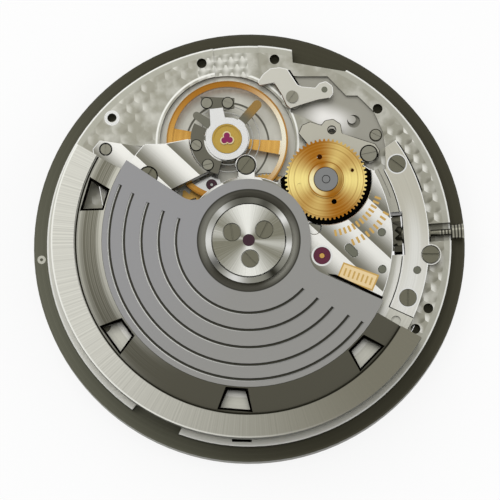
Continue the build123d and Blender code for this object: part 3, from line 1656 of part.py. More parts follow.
# Pallet fork and its two stones
fork_turn = heading(pallet_place, balance_place)
fork_reach = between(pallet_place, balance_place) - impulse_reach
pallet_angles = [heading(escape_place, pallet_place) + side * pallet_spread for side in (-1, 1)]
stone_places = [polar(escape_tip + pivot_gap, angle, escape_place) for angle in pallet_angles]
arm_places = [polar(escape_tip + arm_tip_reach, angle, escape_place) for angle in pallet_angles]
fork_low = escape_wheel_low
fork_top = fork_low + escape_thickness
notch_half = impulse_radius + stem_running_gap
with BuildPart() as pallet_fork:
    for place in arm_places:
        add(link(pallet_place, place, fork_hub, fork_arm, fork_low, fork_top))
    add(link(
        pallet_place, polar(fork_reach - 0.8 * horn_length, fork_turn, pallet_place), fork_arm, 0.6 * fork_arm,
        fork_low, fork_top,
    ))
    with BuildSketch(Plane(
        (pallet_place[0], pallet_place[1], fork_low), x_dir=(cos(radians(fork_turn)), sin(radians(fork_turn)), 0)
    )):
        for side in (-1, 1):
            with BuildLine():
                Polyline(
                    (fork_reach - horn_length, side * notch_half / 5),
                    (fork_reach - horn_length / 2, side * notch_half),
                    (fork_reach + horn_length / 3, side * notch_half),
                    (fork_reach + horn_length / 2, side * notch_half * 3),
                    (fork_reach - horn_length, side * notch_half * 3 / 2),
                    close=True,
                )
            make_face()
    extrude(amount=fork_top - fork_low)
    add(turned(pallet_place, [(train_pivot_radius, lower_pivot_low, pallet_bridge_top - pivot_gap)]))
    with BuildSketch(level(fork_low)):
        with Locations(*[Location((*place, 0), (0, 0, angle)) for place, angle in zip(stone_places, pallet_angles)]):
            Rectangle(stone_length, stone_width, align=(Align.MIN, Align.CENTER))
    extrude(amount=fork_top - fork_low, mode=Mode.SUBTRACT)
save(pallet_fork.part, "pallet_fork")

with BuildPart() as pallet_stones:
    with BuildSketch(level(fork_low)):
        with Locations(*[Location((*place, 0), (0, 0, angle)) for place, angle in zip(stone_places, pallet_angles)]):
            Rectangle(stone_length - press_gap, stone_width - 2 * press_gap, align=(Align.MIN, Align.CENTER))
    extrude(amount=fork_top - fork_low)
save(pallet_stones.part, "pallet_stones")

# Balance wheel, staff and hairspring
rim_inner_radius = rim_radius - rim_width
with BuildPart() as balance_wheel:
    add(washer(balance_place, rim_low, rim_low + rim_height, rim_radius, rim_inner_radius))
    for turn in (spoke_angle, spoke_angle + 180):
        with BuildSketch(Plane(
            (balance_place[0], balance_place[1], spoke_low), x_dir=(cos(radians(turn)), sin(radians(turn)), 0)
        )):
            with BuildLine():
                Polyline(
                    (0, -spoke_inner_width / 2),
                    (rim_inner_radius + rim_width / 2, -spoke_outer_width / 2),
                    (rim_inner_radius + rim_width / 2, spoke_outer_width / 2),
                    (0, spoke_inner_width / 2),
                    close=True,
                )
            make_face()
        extrude(amount=spoke_height)
    with BuildSketch(level(spoke_low, balance_place)):
        Circle(balance_hub_radius)
    extrude(amount=spoke_height)
    with BuildSketch(level(0, balance_place)):
        Circle(staff_radius + press_gap)
    extrude(amount=high, mode=Mode.SUBTRACT)
save(balance_wheel.part, "balance_wheel")

staff_low = lower_shock_low + lower_staff_lift
staff_high = shock_low + hole_jewel_height + pivot_gap
with BuildPart() as balance_staff:
    add(turned(balance_place, [
        (staff_radius / 2, staff_low + shoulder_height, staff_high),
        (staff_pivot_radius, staff_low, staff_high + pivot_tip_height),
        (staff_radius, roller_low - roller_height, collet_low + collet_height),
        (roller_radius, roller_low, roller_low + roller_height),
        (collet_radius, collet_low, collet_low + collet_height),
    ]))
    with BuildSketch(level(fork_low - pivot_gap, polar(impulse_reach, fork_turn + 180, balance_place))):
        Circle(impulse_radius)
    extrude(amount=roller_low - fork_low + stem_running_gap)
save(balance_staff.part, "balance_staff")

hairspring_start = stud_turn - 180 * hairspring_half_turns
with BuildPart() as hairspring:
    add(spiral_strip(
        balance_place, hairspring_low, hairspring_height, hairspring_inner, hairspring_pitch,
        hairspring_half_turns, hairspring_thickness, hairspring_start,
    ))
save(hairspring.part, "hairspring")
hairspring_gap = hairspring_pitch - hairspring_thickness
print("hairspring: turns", hairspring_half_turns / 2, "least gap to itself", round(hairspring_gap, 3))

# Shock settings of the balance staff, and its jewels
with BuildPart() as shock_blocks:
    add(washer(balance_place, shock_low - shock_skirt, shock_low + shock_height, shock_radius, shock_bore))
    with BuildSketch(level(shock_low + shock_height - shock_seat_depth, balance_place)):
        Circle(shock_seat_radius)
    extrude(amount=overrun, mode=Mode.SUBTRACT)
    add(washer(balance_place, lower_shock_low, balance_floor, shock_radius, shock_bore))
save(shock_blocks.part, "shock_blocks")

hole_jewel_low = shock_low
cap_jewel_low = hole_jewel_low + cap_jewel_lift
spring_disc_low = shock_low + shock_height - shock_seat_depth + press_gap
with BuildPart() as shock_spring:
    with BuildSketch(level(spring_disc_low, balance_place)):
        Circle(shock_seat_radius - pivot_gap)
        Circle(trefoil_radius, mode=Mode.SUBTRACT)
        with PolarLocations(trefoil_circle, 3, start_angle=88):
            Circle(trefoil_radius, mode=Mode.SUBTRACT)
    extrude(amount=shock_spring_thickness)
save(shock_spring.part, "shock_spring")

ring_bore_radius = shock_radius + ring_room
regulator_middle = (regulator_radius + ring_bore_radius) / 2
stud_reach = hairspring_inner + hairspring_half_turns * hairspring_pitch / 2 + stud_radius / 2
curb_reach = stud_reach + stud_radius
with BuildPart() as stud_carrier:
    add(washer(balance_place, carrier_low, carrier_low + carrier_height, regulator_radius, ring_bore_radius))
    add(link(
        polar(regulator_middle, carrier_arm_turn, balance_place), polar(stud_reach, stud_turn, balance_place),
        carrier_arm_width, carrier_arm_width * 0.8,
        carrier_low, carrier_low + carrier_height,
    ))
    with BuildSketch(level(hairspring_low, polar(stud_reach, stud_turn, balance_place))):
        Circle(stud_radius)
    extrude(amount=carrier_low - hairspring_low)
save(stud_carrier.part, "stud_carrier")

regulator_tail_shares = [(-0.1489, 0.6718), (-0.1504, 0.5802), (-0.0748, 0.6145), (-0.0840, 0.6756)]
with BuildPart() as regulator:
    add(washer(
        balance_place, regulator_low, regulator_low + regulator_height,
        regulator_radius, ring_bore_radius,
    ))
    add(plate_of(
        spots(regulator_tail_shares), regulator_low, regulator_low + regulator_height
    ))
    add(link(
        polar(regulator_middle, index_turn, balance_place), polar(index_reach, index_turn, balance_place),
        carrier_arm_width, carrier_arm_width, regulator_low, regulator_low + regulator_height,
    ))
    with BuildSketch(level(hairspring_low, polar(curb_reach, index_turn, balance_place))):
        Circle(impulse_radius)
    extrude(amount=regulator_low - hairspring_low)
save(regulator.part, "regulator")

# Hand work on the dial side
dial_top = minute_wheel_low + dial_wheel_thickness
with BuildPart() as cannon_pinion:
    add(toothed_disc(
        centre, minute_wheel_low - cannon_overlap, dial_wheel_thickness + cannon_overlap, cannon_leaves, dial_module,
        heading(centre, minute_place),
    ))
    add(turned(centre, [(cannon_radius, cannon_pipe_end, dial_top)]))
    with BuildSketch(level(0)):
        Circle(cannon_bore)
    extrude(amount=high, mode=Mode.SUBTRACT)
save(cannon_pinion.part, "cannon_pinion")

with BuildPart() as hour_wheel:
    add(toothed_disc(
        centre, hour_wheel_low, dial_wheel_thickness, hour_teeth, hour_module, heading(centre, minute_place)
    ))
    add(turned(centre, [(hour_radius, hour_pipe_end, hour_wheel_low)]))
    with BuildSketch(level(0)):
        Circle(hour_bore)
    extrude(amount=high, mode=Mode.SUBTRACT)
save(hour_wheel.part, "hour_wheel")

minute_start = heading(minute_place, centre) - 180 / minute_teeth
with BuildPart() as minute_wheel:
    add(toothed_disc(
        minute_place, minute_wheel_low, dial_wheel_thickness,
        minute_teeth, dial_module, minute_start,
    ))
    add(toothed_disc(
        minute_place, hour_wheel_low, minute_wheel_low - hour_wheel_low, minute_leaves, hour_module,
        heading(minute_place, centre) - 180 / minute_leaves,
    ))
    with BuildSketch(level(0, minute_place)):
        Circle(minute_post_radius + pivot_gap)
    extrude(amount=high, mode=Mode.SUBTRACT)
save(minute_wheel.part, "minute_wheel")

with BuildPart() as setting_wheel:
    add(toothed_disc(
        setting_place, minute_wheel_low, dial_wheel_thickness, setting_teeth, dial_module,
        heading(setting_place, minute_place), bore=setting_post_radius + pivot_gap,
    ))
save(setting_wheel.part, "setting_wheel")

with BuildPart() as setting_posts:
    for place, post_radius, post_low in (
        (minute_place, minute_post_radius, dial_seat + cover_thickness),
        (setting_place, setting_post_radius, dial_seat + cover_thickness),
        (lever_post_place, lever_post_radius, dial_seat + cover_thickness),
        (yoke_post_place, lever_post_radius, dial_seat + cover_thickness),
    ):
        with BuildSketch(level(post_low, place)):
            Circle(post_radius)
        extrude(amount=dial_recess_top - post_low)
save(setting_posts.part, "setting_posts")

# Winding stem and what turns with it
across_stem = Plane((0, 0, stem_height), x_dir=(0, 1, 0), z_dir=(1, 0, 0))
stem_steps = [
    (pilot_radius, stem_inner_end, square_start),
    (journal_radius, journal_start, winding_end),
    (stem_radius, winding_end, groove_middle - groove_width / 2),
    (groove_radius, groove_middle - groove_width / 2, groove_middle + groove_width / 2),
    (stem_radius, groove_middle + groove_width / 2, stem_shoulder),
    (neck_radius, stem_shoulder, stem_neck_end),
    (thread_radius, stem_neck_end, stem_outer_end),
]
with BuildPart() as winding_stem:
    for radius, start, end in stem_steps:
        with BuildSketch(across_stem.offset(start)):
            Circle(radius)
        extrude(amount=end - start)
    with BuildSketch(across_stem.offset(square_start)):
        Rectangle(square_side, square_side)
    extrude(amount=journal_start - square_start)
save(winding_stem.part, "winding_stem")

with BuildPart() as winding_pinion:
    with BuildSketch(across_stem.offset(winding_tooth_start)):
        with BuildLine():
            Polyline(*tooth_points(winding_teeth, winding_module, 90.0), close=True)
        make_face()
    extrude(amount=winding_end - part_gap / 2 - winding_tooth_start)
    with BuildSketch(across_stem.offset(winding_start)):
        Circle(winding_hub_radius)
    extrude(amount=winding_tooth_start - winding_start)
    with BuildSketch(across_stem.offset(winding_start)):
        with PolarLocations(0, face_teeth):
            Rectangle(winding_hub_radius * 2, face_tooth_width + 4 * pivot_gap, align=(Align.MIN, Align.CENTER))
    extrude(amount=face_tooth_depth, mode=Mode.SUBTRACT)
    with BuildSketch(across_stem.offset(winding_start)):
        Circle(journal_radius + pivot_gap)
    extrude(amount=winding_end, mode=Mode.SUBTRACT)
save(winding_pinion.part, "winding_pinion")

with BuildPart() as sliding_pinion:
    for radius, start, end in (
        (sliding_radius, sliding_start, sliding_groove_start),
        (sliding_groove_radius, sliding_groove_start, sliding_groove_end),
        (winding_hub_radius, sliding_groove_end, sliding_end),
    ):
        with BuildSketch(across_stem.offset(start)):
            Circle(radius)
        extrude(amount=end - start)
    with BuildSketch(across_stem.offset(sliding_end)):
        Circle(winding_hub_radius)
        Circle(journal_radius + pivot_gap, mode=Mode.SUBTRACT)
        with PolarLocations(0, face_teeth, start_angle=0):
            Rectangle(winding_hub_radius * 2, face_tooth_width, align=(Align.MIN, Align.CENTER), mode=Mode.INTERSECT)
    extrude(amount=face_tooth_depth)
    with BuildSketch(across_stem.offset(sliding_start)):
        Rectangle(square_side + square_gap, square_side + square_gap)
    extrude(amount=winding_end - sliding_start, mode=Mode.SUBTRACT)
    with BuildSketch(across_stem.offset(sliding_start)):
        with PolarLocations(0, sliding_teeth):
            Rectangle(sliding_radius * 2, face_tooth_width, align=(Align.MIN, Align.CENTER))
    extrude(amount=sliding_tooth_height, mode=Mode.SUBTRACT)
save(sliding_pinion.part, "sliding_pinion")

# Setting lever and yoke, turned by the stem on the dial side
lever_top_height = lever_low + lever_thickness
with BuildPart() as setting_lever:
    add(link(lever_post_place, (groove_middle, 0), lever_head, lever_tip, lever_low, lever_top_height))
    with BuildSketch(level(lever_low, (groove_middle, 0))):
        Circle(lever_pin_radius)
    extrude(amount=stem_height - groove_radius - stem_running_gap - lever_low)
    with BuildSketch(level(0, lever_post_place)):
        Circle(lever_post_radius + pivot_gap)
    extrude(amount=high, mode=Mode.SUBTRACT)
save(setting_lever.part, "setting_lever")

with BuildPart() as yoke:
    add(link(yoke_post_place, (yoke_groove, 0), lever_head, lever_tip, lever_low, lever_top_height))
    with BuildSketch(level(lever_low, (yoke_groove, 0))):
        Circle(lever_pin_radius)
    extrude(amount=stem_height - sliding_groove_radius - stem_running_gap - lever_low)
    with BuildSketch(level(0, yoke_post_place)):
        Circle(lever_post_radius + pivot_gap)
    extrude(amount=high, mode=Mode.SUBTRACT)
save(yoke.part, "yoke")

# Click, which holds the ratchet wheel
with BuildPart() as click:
    add(link(click_pivot, click_tip, lever_head, click_tip_radius, ratchet_low, square_top))
    with BuildSketch(level(0, click_pivot)):
        Circle(small_shank + pivot_gap)
    extrude(amount=high * 2, mode=Mode.SUBTRACT)
save(click.part, "click")

# Jewels
hole_radius = train_pivot_radius + pivot_gap
lower_hole_low = lower_shock_low + lower_hole_lift
lower_cap_low = lower_shock_low + lower_cap_lift
upper_jewel_low = base_bridge_top - jewel_height
with BuildPart() as jewels:
    for place, low, bore in (
        (third_place, lower_jewel_low, hole_radius),
        (escape_place, lower_jewel_low, hole_radius),
        (pallet_place, lower_jewel_low, hole_radius),
        (third_place, upper_jewel_low, hole_radius),
        (escape_place, upper_jewel_low, hole_radius),
        (centre, upper_jewel_low, seconds_radius + pivot_gap),
        (reduction_place, upper_jewel_low, train_arbor_radius + pivot_gap),
        (gold_place, upper_jewel_low, 2 * train_pivot_radius + pivot_gap),
        (pallet_place, pallet_bridge_top - jewel_height, hole_radius),
    ):
        add(washer(place, low, low + jewel_height, small_jewel_radius, bore))
    add(washer(
        reduction_place, cover_bridge_top - cover_jewel_height, cover_bridge_top - shank_gap, cover_jewel_radius,
        train_arbor_radius + pivot_gap,
    ))
    add(washer(
        centre, lower_jewel_low + pivot_tip_height, floor_height,
        centre_bush_radius, centre_arbor_radius + pivot_gap,
    ))
    add(turned(centre, [(core_jewel_radius, core_top - core_screw_sink, core_top - pivot_gap)]))
    for low in (hole_jewel_low, lower_hole_low):
        add(washer(balance_place, low, low + cap_jewel_height, shock_bore - press_gap, hole_jewel_bore))
    for low in (cap_jewel_low, lower_cap_low):
        add(washer(balance_place, low, low + cap_jewel_height, shock_bore - press_gap, 0))
save(jewels.part, "jewels")
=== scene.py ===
import math

import bpy
from mathutils import Matrix, Vector


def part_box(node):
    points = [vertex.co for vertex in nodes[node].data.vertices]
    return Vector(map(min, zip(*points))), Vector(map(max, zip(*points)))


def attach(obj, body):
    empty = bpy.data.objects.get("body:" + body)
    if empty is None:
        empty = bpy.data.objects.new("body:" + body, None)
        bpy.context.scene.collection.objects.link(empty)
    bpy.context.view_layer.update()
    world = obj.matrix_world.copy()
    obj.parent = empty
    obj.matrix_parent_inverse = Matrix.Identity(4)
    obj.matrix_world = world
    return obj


# A self-winding watch movement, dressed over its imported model, in the model's own frame.
# Blender works in metres. Places and sizes are given in millimetres here, but for the floor and the lamps.
MM = 0.001
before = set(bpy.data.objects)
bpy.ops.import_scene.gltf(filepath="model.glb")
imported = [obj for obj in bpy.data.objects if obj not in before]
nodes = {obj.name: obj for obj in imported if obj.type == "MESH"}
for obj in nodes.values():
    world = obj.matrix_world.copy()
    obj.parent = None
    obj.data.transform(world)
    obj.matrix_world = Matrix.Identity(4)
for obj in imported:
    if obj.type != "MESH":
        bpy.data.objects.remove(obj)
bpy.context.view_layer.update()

# Axes and radii
BALANCE = (-0.96, 6.80)
GOLD = (5.24, 3.68)
PIT_RADIUS = 4.6
COLLAR_RADIUS = 3.3
GROOVE_RADII = (4.720, 5.831, 6.942, 8.072, 9.024)
WINDING_EDGES = (9.97, 11.65)
BAND_RADIUS = 11.2
PLATE_RIM = 12.62
PLATE_EDGE = 13.0

# Heights of the faces that carry something
POCKET_FLOOR = 2.35
PLATE_TOP = 2.70
LEVER_TOP = 3.25
EDGE_BRIDGE_TOP = 3.45
SCREW_TOPS = (3.86, 4.24)
RECESS_FLOOR = 4.35
WHEEL_TOP = 4.58
BRIDGE_TOP = 4.70
WEB_TOP = 5.10


# Materials

def srgb(red, green, blue):
    """A screen colour from 0 to 255 as linear light."""
    return tuple((c / 255) ** 2.2 for c in (red, green, blue))


BLACK = srgb(14, 13, 11)
GILT_DARK = srgb(168, 108, 36)
GILT_LIGHT = srgb(255, 234, 148)


class Shader:
    """Builds one material, node by node. Lengths in it are millimetres."""

    def __init__(self, name, color, rough, metallic=1.0):
        self.material = bpy.data.materials.new(name)
        self.material.use_nodes = True
        self.tree = self.material.node_tree
        self.base = self.tree.nodes["Principled BSDF"]
        self.base.inputs["Base Color"].default_value = (*color, 1)
        self.base.inputs["Roughness"].default_value = rough
        self.base.inputs["Metallic"].default_value = metallic
        self.paint = color
        self.object_place = None
        self.place = None
        self.facing = None

    def node(self, kind, **values):
        made = self.tree.nodes.new(kind)
        for key, value in values.items():
            setattr(made, key, value)
        return made

    def put(self, value, socket):
        """Gives a socket a number, a colour or a link."""
        if isinstance(value, (int, float)):
            socket.default_value = value
        elif isinstance(value, tuple):
            socket.default_value = (*value, 1)
        else:
            self.tree.links.new(value, socket)

    def math(self, operation, a, b=None, clamp=False):
        """One math node. a and b are sockets or numbers."""
        made = self.node("ShaderNodeMath", operation=operation, use_clamp=clamp)
        for socket, value in zip(made.inputs, (a, b)):
            if value is not None:
                self.put(value, socket)
        return made.outputs[0]

    def both(self, *factors):
        """The product of factors."""
        made = factors[0]
        for factor in factors[1:]:
            made = self.math("MULTIPLY", made, factor)
        return made

    def step(self, value, low, high):
        """A soft step from 0 at low to 1 at high. low may be the greater."""
        made = self.node("ShaderNodeMapRange", interpolation_type="SMOOTHSTEP")
        self.put(value, made.inputs["Value"])
        made.inputs["From Min"].default_value = min(low, high)
        made.inputs["From Max"].default_value = max(low, high)
        made.inputs["To Min"].default_value = 0.0 if low < high else 1.0
        made.inputs["To Max"].default_value = 1.0 if low < high else 0.0
        return made.outputs[0]

    def band(self, value, low, high, soft):
        """1 between low and high, with an edge of the soft width at each."""
        half = soft / 2
        rising = self.step(value, low - half, low + half)
        falling = self.step(value, high + half, high - half)
        return self.both(rising, falling)

    def off(self, value, place):
        """How far a value is from a place."""
        return self.math("ABSOLUTE", self.math("SUBTRACT", value, place))

    def point(self, origin=(0, 0), turn=0.0):
        """x, y and z from a place in the model's frame, with x turned by an angle in degrees."""
        if self.place is None:
            coordinates = self.node("ShaderNodeTexCoord")
            split = self.node("ShaderNodeSeparateXYZ")
            self.object_place = coordinates.outputs["Object"]
            self.put(self.object_place, split.inputs[0])
            self.place = [self.math("MULTIPLY", out, 1 / MM) for out in split.outputs]
            normal = self.node("ShaderNodeSeparateXYZ")
            self.put(coordinates.outputs["Normal"], normal.inputs[0])
            self.facing = self.math("ABSOLUTE", normal.outputs[2])
        x = self.math("SUBTRACT", self.place[0], origin[0])
        y = self.math("SUBTRACT", self.place[1], origin[1])
        if turn:
            c, s = math.cos(math.radians(turn)), math.sin(math.radians(turn))
            along = self.math("ADD", self.both(x, c), self.both(y, s))
            across = self.math("SUBTRACT", self.both(y, c), self.both(x, s))
            return along, across, self.place[2]
        return x, y, self.place[2]

    def polar(self, origin=(0, 0), turn=0.0):
        """The radius and the angle in radians about a place. The angle is 0 in the turned direction."""
        x, y, _ = self.point(origin, turn)
        radius = self.math("SQRT", self.math("ADD", self.both(x, x), self.both(y, y)))
        return radius, self.math("ARCTAN2", y, x)

    def lobe(self, angle, direction, power):
        """1 towards a direction in degrees, falling to 0 a quarter turn away."""
        near = self.math("COSINE", self.math("SUBTRACT", angle, math.radians(direction)))
        return self.math("POWER", self.math("MAXIMUM", near, 0.0), power)

    def fans(self, angle, fans):
        """The sum of lobes, each given by its direction, power and strength."""
        glow = 0.0
        for direction, power, strength in fans:
            glow = self.math("ADD", glow, self.both(self.lobe(angle, direction, power), strength))
        return glow

    def noise(self, value, scale, detail):
        """Noise along one value, from 0 to 1."""
        made = self.node("ShaderNodeTexNoise", noise_dimensions="1D")
        made.inputs["Scale"].default_value = scale
        made.inputs["Detail"].default_value = detail
        self.put(value, made.inputs["W"])
        return made.outputs[0]

    def brushed(self, glow, value, scale, detail, reach):
        """A glow with fine lines along one value added, each up to half the reach up or down."""
        lines = self.both(self.noise(value, scale, detail), reach)
        return self.math("ADD", glow, self.math("SUBTRACT", lines, reach / 2), clamp=True)

    def cloud(self, scale, detail=2.0):
        """Soft patches in space, from 0 to 1. The scale is in patches to the millimetre."""
        self.point()
        made = self.node("ShaderNodeTexNoise", noise_dimensions="3D")
        made.inputs["Scale"].default_value = scale / MM
        made.inputs["Detail"].default_value = detail
        self.put(self.object_place, made.inputs["Vector"])
        return made.outputs[0]

    def mix(self, factor, a, b, kind="RGBA"):
        """a where the factor is 0 and b where it is 1. The kind FLOAT mixes numbers."""
        made = self.node("ShaderNodeMix", data_type=kind)
        self.put(factor, made.inputs["Factor"])
        self.put(a, made.inputs["A"])
        self.put(b, made.inputs["B"])
        return made.outputs["Result"]

    def over(self, factor, color):
        """Lays a colour over what is painted so far."""
        self.paint = self.mix(factor, self.paint, color)
        return self

    def shade_walls(self, color):
        """Lays painted shade in a colour over the faces that stand upright, which are darker than the tops
        because of how the light falls.
        """
        self.point()
        return self.over(self.step(self.facing, 0.45, 0.15), color)

    def done(self):
        self.put(self.paint, self.base.inputs["Base Color"])
        return self.material


def plain(name, color, rough, wall_shade=None):
    """One colour all over, with painted shade in another colour on the upright faces if it is given."""
    made = Shader(name, color, rough)
    if wall_shade:
        made.shade_walls(wall_shade)
    return made.done()


def ring_finish():
    """Brushed in circles, with a painted sheen that makes it lighter towards the left."""
    made = Shader("ring steel", srgb(76, 74, 62), 0.42)
    radius, angle = made.polar()
    made.over(made.lobe(angle, 200, 1.6), srgb(114, 114, 100))
    made.over(made.both(made.noise(radius, 14.0, 4.0), 0.45), srgb(52, 51, 42))
    return made.done()


def grained_spots(made, pitch, row, reach, lean):
    """Rows of overlapping round grained spots: each row lies over the one below it. From 0 to 1. The value is
    mostly painted sheen: each spot is lit in two opposite fans and darker between them, with its fine grain
    added.
    """
    x, y, _ = made.point()
    u = made.math("DIVIDE", x, pitch)
    v = made.math("DIVIDE", y, pitch * row)
    level = made.math("FLOOR", v)
    shades = []
    for up in (1.0, 0.0):
        here = made.math("ADD", level, up)
        odd = made.math("MODULO", made.math("ABSOLUTE", here), 2.0)
        moved = made.math("SUBTRACT", u, made.both(odd, 0.5))
        dx = made.math("SUBTRACT", moved, made.math("ROUND", moved))
        dy = made.both(made.math("SUBTRACT", v, here), row)
        radius = made.math("SQRT", made.math("ADD", made.both(dx, dx), made.both(dy, dy)))
        angle = made.math("SUBTRACT", made.math("ARCTAN2", dy, dx), math.radians(lean))
        fan = made.math("COSINE", made.both(angle, 2.0))
        grown = made.step(radius, 0.0, reach)
        shade = made.math("ADD", made.both(fan, grown, 0.5), 0.5)
        grain = made.noise(radius, 22.0, 3.0)
        inside = made.step(radius, reach * 1.03, reach * 0.97)
        shades.append((inside, made.math("ADD", made.both(shade, 0.8), made.both(grain, 0.2))))
    (inside, top), (_, under) = shades
    return made.mix(inside, under, top, "FLOAT")


# Places on the plate: the middle of the painted highlight in the corner pocket, the step pocket, the disc and
# the painted highlight at the edge of the balance's pit, and the ends of the painted shade beside the winding
# bridge
CORNER_MIDDLE = (5.7, 7.9)
CORNER_LEAN = -24.0
STEP_SIDES = (-2.55, 0.70)
STEP_END = 10.0
DISC_EDGE = (2.62, 2.74)
PIT_EDGE = 0.065
GAP_ENDS = (2.8, 6.1)


def plate_finish():
    """Round grained plate, with finer graining in the step pocket and plain floors below the top. Much of its
    light and dark is painted: sheen in the spots, highlights in the corner pocket, at the pit's edge and on
    the rim, and shade on the low floors and beside the winding bridge.
    """
    made = Shader("round grained plate", srgb(162, 160, 146), 0.34)
    radius, angle = made.polar()
    pit_radius, _ = made.polar(BALANCE)
    x, y, z = made.point()

    # the painted sheen of the graining shows most at the right and in patches, and least at the upper right:
    # painted highlights in its lit fans and painted shade in its dark ones
    spots = grained_spots(made, pitch=1.05, row=0.62, reach=0.66, lean=35.0)
    right = made.both(made.step(x, 4.0, 10.0), 0.55)
    patches = made.both(made.step(made.cloud(0.45), 0.35, 0.7), 0.45)
    smooth = made.math("SUBTRACT", 1.0, made.both(made.step(x, 2.8, 3.4), made.step(y, 6.6, 7.6), 0.85))
    strong = made.both(made.math("ADD", right, patches, clamp=True), smooth)
    made.over(made.both(made.step(made.cloud(0.8, 3.0), 0.42, 0.68), 0.7), srgb(206, 205, 195))
    lit = made.both(made.step(spots, 0.52, 0.9), made.step(strong, -0.2, 1.0), smooth)
    made.over(lit, srgb(240, 239, 230))
    made.over(made.both(made.step(spots, 0.34, 0.08), strong), srgb(116, 114, 100))

    # the pocket at the upper right, with a painted highlight brightest in its middle
    below = made.step(z, PLATE_TOP - 0.05, PLATE_TOP - 0.1)
    corner = made.both(made.step(x, 3.0, 3.4), made.step(y, 4.3, 4.7), below)
    corner_x, corner_y, _ = made.point(CORNER_MIDDLE, CORNER_LEAN)
    wide = made.step(made.off(corner_x, 0.0), 2.1, 0.3)
    deep = made.step(made.off(corner_y, 0.0), 1.3, 0.1)
    glow = made.both(wide, deep)
    made.over(corner, made.mix(glow, srgb(160, 158, 147), srgb(242, 240, 235)))

    # the step pocket at the top
    fine = grained_spots(made, pitch=0.74, row=0.70, reach=0.40, lean=80.0)
    pocket = made.both(made.band(x, *STEP_SIDES, 0.1), made.step(y, STEP_END, STEP_END + 0.1))
    made.over(pocket, made.mix(fine, srgb(150, 149, 136), srgb(226, 225, 216)))

    # painted shade on the floors below the top, lighter in the pit under the balance; a dark line at the
    # pit's disc, and a painted highlight on the pit's edge
    pit = made.step(pit_radius, PIT_RADIUS, PIT_RADIUS - 0.1)
    low = made.step(z, PLATE_TOP - 0.4, PLATE_TOP - 0.5)
    made.over(made.both(low, 0.75), made.mix(pit, srgb(118, 116, 104), srgb(214, 212, 200)))
    disc_edge = made.both(made.band(pit_radius, *DISC_EDGE, 0.04), low)
    made.over(made.both(disc_edge, 0.85), srgb(74, 72, 60))
    pit_edge = made.band(pit_radius, PIT_RADIUS - PIT_EDGE, PIT_RADIUS + PIT_EDGE, 0.03)
    at_top = made.step(z, PLATE_TOP - 0.1, PLATE_TOP - 0.02)
    made.over(made.both(pit_edge, at_top), srgb(240, 240, 232))

    # painted shade in the gap beside the winding bridge, and painted highlights on the rim, brightest towards
    # the lower left, and on the outer edge
    edge = WINDING_EDGES[1]
    inner, outer = made.step(radius, edge + 0.02, edge + 0.04), made.step(radius, edge + 0.16, edge + 0.12)
    low_end = made.step(y, GAP_ENDS[0] - 0.1, GAP_ENDS[0] + 0.1)
    high_end = made.step(y, GAP_ENDS[1] + 0.05, GAP_ENDS[1] - 0.05)
    made.over(made.both(inner, outer, low_end, high_end, made.step(x, 5.0, 6.0)), BLACK)
    rim = made.both(made.step(radius, PLATE_RIM, PLATE_RIM + 0.04), 0.9)
    made.over(rim, made.mix(made.lobe(angle, 235, 0.8), srgb(176, 175, 162), srgb(236, 235, 226)))
    made.over(made.step(radius, PLATE_EDGE - 0.02, PLATE_EDGE + 0.02), srgb(236, 236, 230))
    return made.shade_walls(srgb(84, 83, 76)).done()


# The stripes, and the painted shade on the sunk floor round the gilt wheel
STRIPE_WIDTH = 1.9
STRIPE_LEAN = -47.0
RECESS_RADIUS = 3.1


def striped_finish(name, offset, shade_recess=False):
    """Broad straight stripes, each with a painted sheen across its width, from a highlight to grey."""
    made = Shader(name, srgb(124, 122, 109), 0.3)
    _, across, z = made.point(turn=STRIPE_LEAN)
    step = made.math("FRACT", made.math("DIVIDE", made.math("ADD", across, offset), STRIPE_WIDTH))
    fine = made.noise(across, 30.0, 3.0)
    blend = made.math("ADD", made.both(step, 0.85), made.both(fine, 0.15))
    made.over(made.step(blend, 0.1, 0.8), srgb(247, 246, 239))
    # painted shade, nearly black, on the sunk floor round the gilt wheel
    if shade_recess:
        gold_radius, _ = made.polar(GOLD)
        low = made.step(z, RECESS_FLOOR + 0.06, RECESS_FLOOR + 0.02)
        made.over(made.both(low, made.step(gold_radius, RECESS_RADIUS + 0.1, RECESS_RADIUS)), BLACK)
    return made.shade_walls(srgb(70, 69, 62)).done()


def gilt_fans(name, origin, dark, light, fans, rings, rough=0.3):
    """Gilt and brushed in circles: painted highlights as bright fans in some directions, and fine rings of
    brushing.
    """
    made = Shader(name, dark, rough)
    radius, angle = made.polar(origin)
    made.over(made.brushed(made.fans(angle, fans), radius, rings, 3.0, 0.5), light)
    return made, radius, angle


# Radii on the gilt wheel and the balance. A turned line has its radius, its reach and its strength.
RAISED_RING = (0.82, 1.08)
TURNED_LINES = ((1.13, 0.05, 0.75), (2.06, 0.04, 0.4), (2.42, 0.04, 0.5))
BALANCE_RIM = (3.43, 3.83)


def gold_wheel_finish():
    """The gilt wheel, with painted highlights in fans, a raised ring round its cap and a few turned lines."""
    fans = ((178, 5, 1.0), (-4, 5, 0.95), (62, 14, 0.55), (-112, 14, 0.45))
    made, radius, angle = gilt_fans("gilt wheel", GOLD, GILT_DARK, GILT_LIGHT, fans, 5.0)
    for line, wide, strength in TURNED_LINES:
        near = made.step(made.off(radius, line), wide, wide / 2)
        made.over(made.both(near, strength), srgb(150, 96, 30))
    # the raised ring: a painted highlight on its left side and painted shade on its right side
    raised = made.band(radius, *RAISED_RING, 0.04)
    made.over(made.both(raised, made.lobe(angle, 190, 2)), srgb(255, 244, 190))
    made.over(made.both(raised, made.lobe(angle, -15, 2), 0.8), srgb(140, 92, 28))
    # painted shade round the cap, which covers the rest
    made.over(made.step(radius, 0.82, 0.79), srgb(70, 52, 22))
    return made.shade_walls(BLACK).done()


